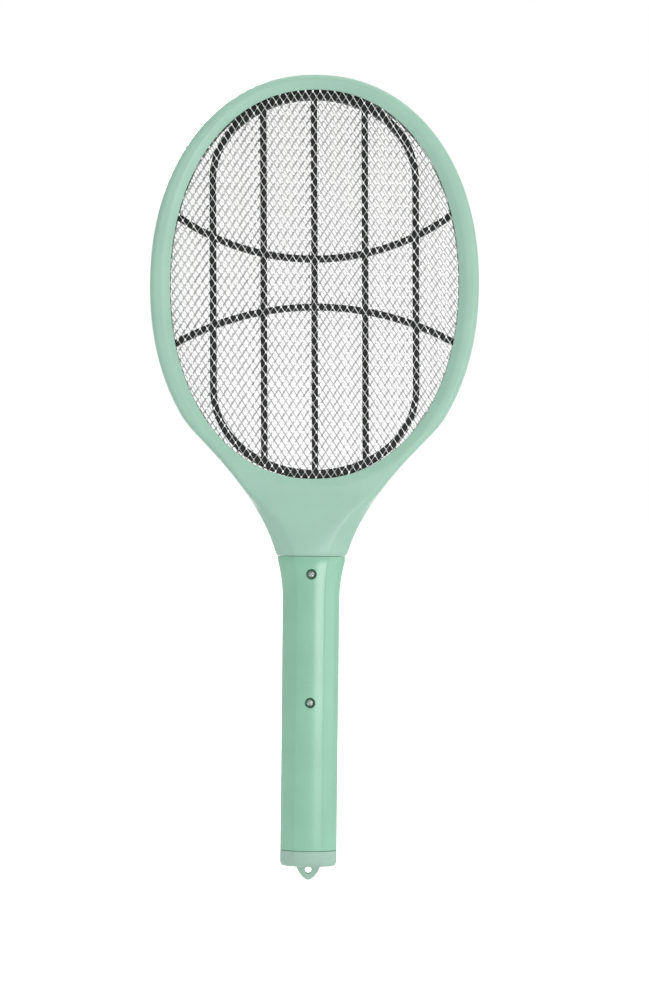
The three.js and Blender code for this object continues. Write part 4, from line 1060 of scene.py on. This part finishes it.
def noise(nodes, links, scale, stretch):
    """Noise in the part's own metres; stretch scales it along each axis."""
    place = nodes.new("ShaderNodeTexCoord")
    mapping = nodes.new("ShaderNodeMapping")
    set_inputs(mapping, Scale=stretch)
    texture = nodes.new("ShaderNodeTexNoise")
    set_inputs(texture, Scale=scale, Detail=3)
    links.new(place.outputs["Object"], mapping.inputs["Vector"])
    links.new(mapping.outputs["Vector"], texture.inputs["Vector"])
    return texture.outputs["Fac"]


def spread(nodes, links, factor, low, high):
    """The noise's middle range spread from low to high."""
    step = nodes.new("ShaderNodeMapRange")
    set_inputs(step, From_Min=0.3, From_Max=0.7, To_Min=low, To_Max=high)
    links.new(factor, step.inputs["Value"])
    return step.outputs["Result"]


def surface(
    name, colour, roughness, metallic=0.0, tint=0.04, roughness_change=0.05, broad=40.0,
    grain=1500.0, grain_height=0.004, stretch=(1, 1, 1), **sockets,
):
    """A finish whose colour drifts over broad patches and whose fine grain shows as bump.
    grain_height is in millimetres; sockets names further inputs of the shader, such as Coat_Weight."""
    made, nodes, links = new_material(name)
    shader = nodes["Principled BSDF"]
    set_inputs(shader, Metallic=metallic, **sockets)
    patches = noise(nodes, links, broad, stretch)
    fine = noise(nodes, links, grain, stretch)
    ramp = nodes.new("ShaderNodeMix")
    ramp.data_type = "RGBA"
    darker, lighter = (tuple(min(c * (1 + way * tint), 1) for c in colour) for way in (-1, 1))
    set_inputs(ramp, A=(*darker, 1), B=(*lighter, 1))
    links.new(spread(nodes, links, patches, 0, 1), ramp.inputs["Factor"])
    links.new(ramp.outputs["Result"], shader.inputs["Base Color"])
    rough = spread(nodes, links, fine, roughness - roughness_change, roughness + roughness_change)
    links.new(rough, shader.inputs["Roughness"])
    bump = nodes.new("ShaderNodeBump")
    set_inputs(bump, Distance=grain_height * MM)
    links.new(fine, bump.inputs["Height"])
    links.new(bump.outputs["Normal"], shader.inputs["Normal"])
    return made


METAL = {"metallic": 1.0}
MESH_METAL = {**METAL, "roughness_change": 0.08, "grain": 2600, "grain_height": 0.006}
COPPER_WIRE = {"metallic": 0.9, "grain_height": 0.08, "grain": 700, "stretch": (0.1, 0.1, 6)}
FINISHES = {  # material slot: (colour, roughness, what else sets it apart)
    "head_plastic": ((0.39, 0.645, 0.515), 0.38, {}),
    "handle_plastic": ((0.30, 0.62, 0.445), 0.24, {}),
    "cap_plastic": ((0.39, 0.60, 0.49), 0.4, {}),
    "guard_metal": ((0.64, 0.645, 0.64), 0.34, MESH_METAL),
    "centre_metal": ((0.56, 0.56, 0.555), 0.36, MESH_METAL),
    "spacer_plastic": ((0.012, 0.015, 0.013), 0.6, {"tint": 0.2, "Specular_IOR_Level": 0.25}),
    "control_plastic": ((0.8, 0.82, 0.79), 0.28, {"tint": 0.02}),
    "lens_plastic": ((0.5, 0.01, 0.008), 0.12, {"roughness_change": 0.03, "Coat_Weight": 0.6}),
    "screw_steel": ((0.42, 0.45, 0.435), 0.4, {**METAL, "tint": 0.1, "stretch": (1, 8, 1)}),
    "contact_steel": ((0.62, 0.6, 0.55), 0.22, {**METAL, "tint": 0.08}),
    "switch_steel": ((0.55, 0.56, 0.57), 0.35, {**METAL, "tint": 0.08}),
    "switch_plastic": ((0.012, 0.012, 0.013), 0.45, {"tint": 0.2}),
    "board_laminate": ((0.015, 0.11, 0.035), 0.35, {"tint": 0.25, "broad": 300, "stretch": (6, 6, 1)}),
    "ferrite": ((0.035, 0.035, 0.037), 0.65, {"tint": 0.3, "grain_height": 0.03}),
    "winding_copper": ((0.5, 0.19, 0.06), 0.3, COPPER_WIRE),
    "component_epoxy": ((0.012, 0.012, 0.014), 0.4, {"tint": 0.25}),
    "capacitor_film": ((0.34, 0.035, 0.014), 0.28, {"tint": 0.15, "Coat_Weight": 0.4}),
    "cell_wrap": ((0.04, 0.095, 0.27), 0.25, {"metallic": 0.3, "tint": 0.15, "stretch": (1, 1, 0.1)}),
    "lead_red": ((0.42, 0.018, 0.012), 0.42, {"tint": 0.1}),
    "lead_black": ((0.01, 0.01, 0.011), 0.42, {"tint": 0.2}),
}


# ---- assembly ----
MATERIALS = {
    slot: surface(slot, colour, roughness, **more)
    for slot, (colour, roughness, more) in FINISHES.items()
}
SLOT_OF = {entry["node"]: entry["material_slot"] for entry in frame["record"]["subparts"]}
BODY_OF = {
    node: body for body, nodes in frame["record"]["behaviour"]["bodies"].items() for node in nodes
}


def stand_in(node, piece):
    """The piece takes the place, the finish and the movement of a CAD node."""
    piece.name = node + "_fine"
    piece.data.name = piece.name
    piece.data.materials.clear()
    piece.data.materials.append(MATERIALS[SLOT_OF[node]])
    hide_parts(node)
    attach(piece, BODY_OF[node])


def build_pieces():
    for side, name in ((-1, "rear"), (1, "front")):
        stand_in(f"head_frame_{name}", head_shell("head", side))
        stand_in(f"handle_{name}_shell", handle_shell("handle", side))
        grid = f"{name}_spacer_grid"
        stand_in(grid, spacer_grid("grid", *box_mm(grid)))
    for node, phase in (("rear_guard_mesh", 0.0), ("centre_mesh", 0.5), ("front_guard_mesh", 0.25)):
        low, high = box_mm(node)
        tab_x = TAB_SPACING * round(((low.y + high.y) / 2) / GUARD_Y)
        facing = -1 if node == "centre_mesh" else 1
        stand_in(node, expanded_sheet("sheet", low, high, tab_x, facing, phase))
    stand_in("end_cap", end_cap("cap"))
    stand_in("contact_carrier", contact_carrier("carrier"))
    stand_in("trigger_button", trigger_button("button"))
    stand_in("power_switch_knob", power_knob("knob"))
    stand_in("indicator_led", indicator_led("led"))
    for node in SCREW_HEIGHTS:
        stand_in(node, screw(node))
    for node in ("negative_spring", "bridge_spring"):
        stand_in(node, spring(node))
    for node in LEAD_ROUTES:
        stand_in(node, lead(node))


def finish_carried_nodes():
    """The CAD nodes that stay get their finish, soft edges and smooth shading."""
    for node, piece in frame["nodes"].items():
        if piece.hide_render:
            continue
        piece.data.materials.clear()
        piece.data.materials.append(MATERIALS[SLOT_OF[node]])
        piece.modifiers.new("weld", "WELD").merge_threshold = 0.001 * MM
        add_bevel(piece, 0.15)
        shade(piece)


# ---- camera, light and floor ----
VIEW_DISTANCE = 2.0
FRAME_HEIGHT = 0.6
AIM = Vector((0.0074, 0, 0.1266))
ROLL = math.radians(-0.62)
FLOOR_DROP = 0.045  # the part hangs above the floor by more than its end cap pulls off
BACKDROP, GLOSSY_SURROUND, DIFFUSE_SURROUND = 1.0, 0.6, 0.56  # the world as each kind of ray sees it
LIGHTS_AIM = (0, 0, 0.15)
AREA_LIGHTS = {  # name: (place, size, power)
    "key": ((0.72, -1.92, -0.1), (0.75, 0.9), 17),
    "side": ((1.5, -0.7, 0.3), (0.4, 1.6), 5),
    "back_key": ((-0.7, 1.9, 1.1), (0.8, 0.8), 33),
}


def add_camera():
    data = bpy.data.cameras.new("camera")
    data.sensor_fit = "VERTICAL"
    data.sensor_height = 36
    data.lens = data.sensor_height * VIEW_DISTANCE / FRAME_HEIGHT
    camera = place_object("camera", data)
    camera.matrix_world = (
        Matrix.Translation(AIM + Vector((0, -VIEW_DISTANCE, 0)))
        @ Matrix.Rotation(ROLL, 4, "Y") @ Matrix.Rotation(math.pi / 2, 4, "X")
    )
    bpy.context.scene.camera = camera


def add_area_light(name, place, size, power):
    data = bpy.data.lights.new(name, "AREA")
    data.shape = "RECTANGLE"
    data.size, data.size_y = size
    data.energy = power
    lamp = place_object(name, data)
    lamp.location = place
    lamp.rotation_euler = (Vector(LIGHTS_AIM) - Vector(place)).to_track_quat("-Z", "Y").to_euler()


def add_world():
    """White behind the part, and a dimmer surround for what lights it and what it mirrors."""
    world = bpy.data.worlds.new("studio")
    world.use_nodes = True
    nodes, links = world.node_tree.nodes, world.node_tree.links
    path = nodes.new("ShaderNodeLightPath")
    strength = None
    for ray, seen in (("Is Glossy Ray", GLOSSY_SURROUND), ("Is Camera Ray", BACKDROP)):
        choice = nodes.new("ShaderNodeMix")
        set_inputs(choice, A=DIFFUSE_SURROUND, B=seen)
        links.new(path.outputs[ray], choice.inputs["Factor"])
        if strength is not None:
            links.new(strength, choice.inputs["A"])
        strength = choice.outputs["Result"]
    links.new(strength, nodes["Background"].inputs["Strength"])
    set_inputs(nodes["Background"], Color=(1, 1, 1, 1))
    bpy.context.scene.world = world


def add_floor():
    floor = place_object("floor", bpy.data.meshes.new("floor"))
    half, z = 40.0, CAD_BOX[0].z - FLOOR_DROP
    floor.data.from_pydata(
        [(-half, -half, z), (half, -half, z), (half, half, z), (-half, half, z)], [], [(0, 1, 2, 3)],
    )
    floor.data.materials.append(surface(
        "floor_paint", (0.9, 0.9, 0.9), 0.8, tint=0.01, broad=2,
        Emission_Color=(1, 1, 1, 1), Emission_Strength=0.7,
    ))
    floor.visible_diffuse = False


def add_overhead():
    """A broad soft light from straight above, which keeps the floor white to its far edge."""
    data = bpy.data.lights.new("overhead", "SUN")
    data.energy, data.angle = 0.8, math.radians(60)
    place_object("overhead", data)


def light_scene():
    add_world()
    add_overhead()
    for name, (place, size, power) in AREA_LIGHTS.items():
        add_area_light(name, place, size, power)


build_pieces()
finish_carried_nodes()
light_scene()
add_floor()
add_camera()
bpy.context.scene.view_settings.view_transform = "Standard"
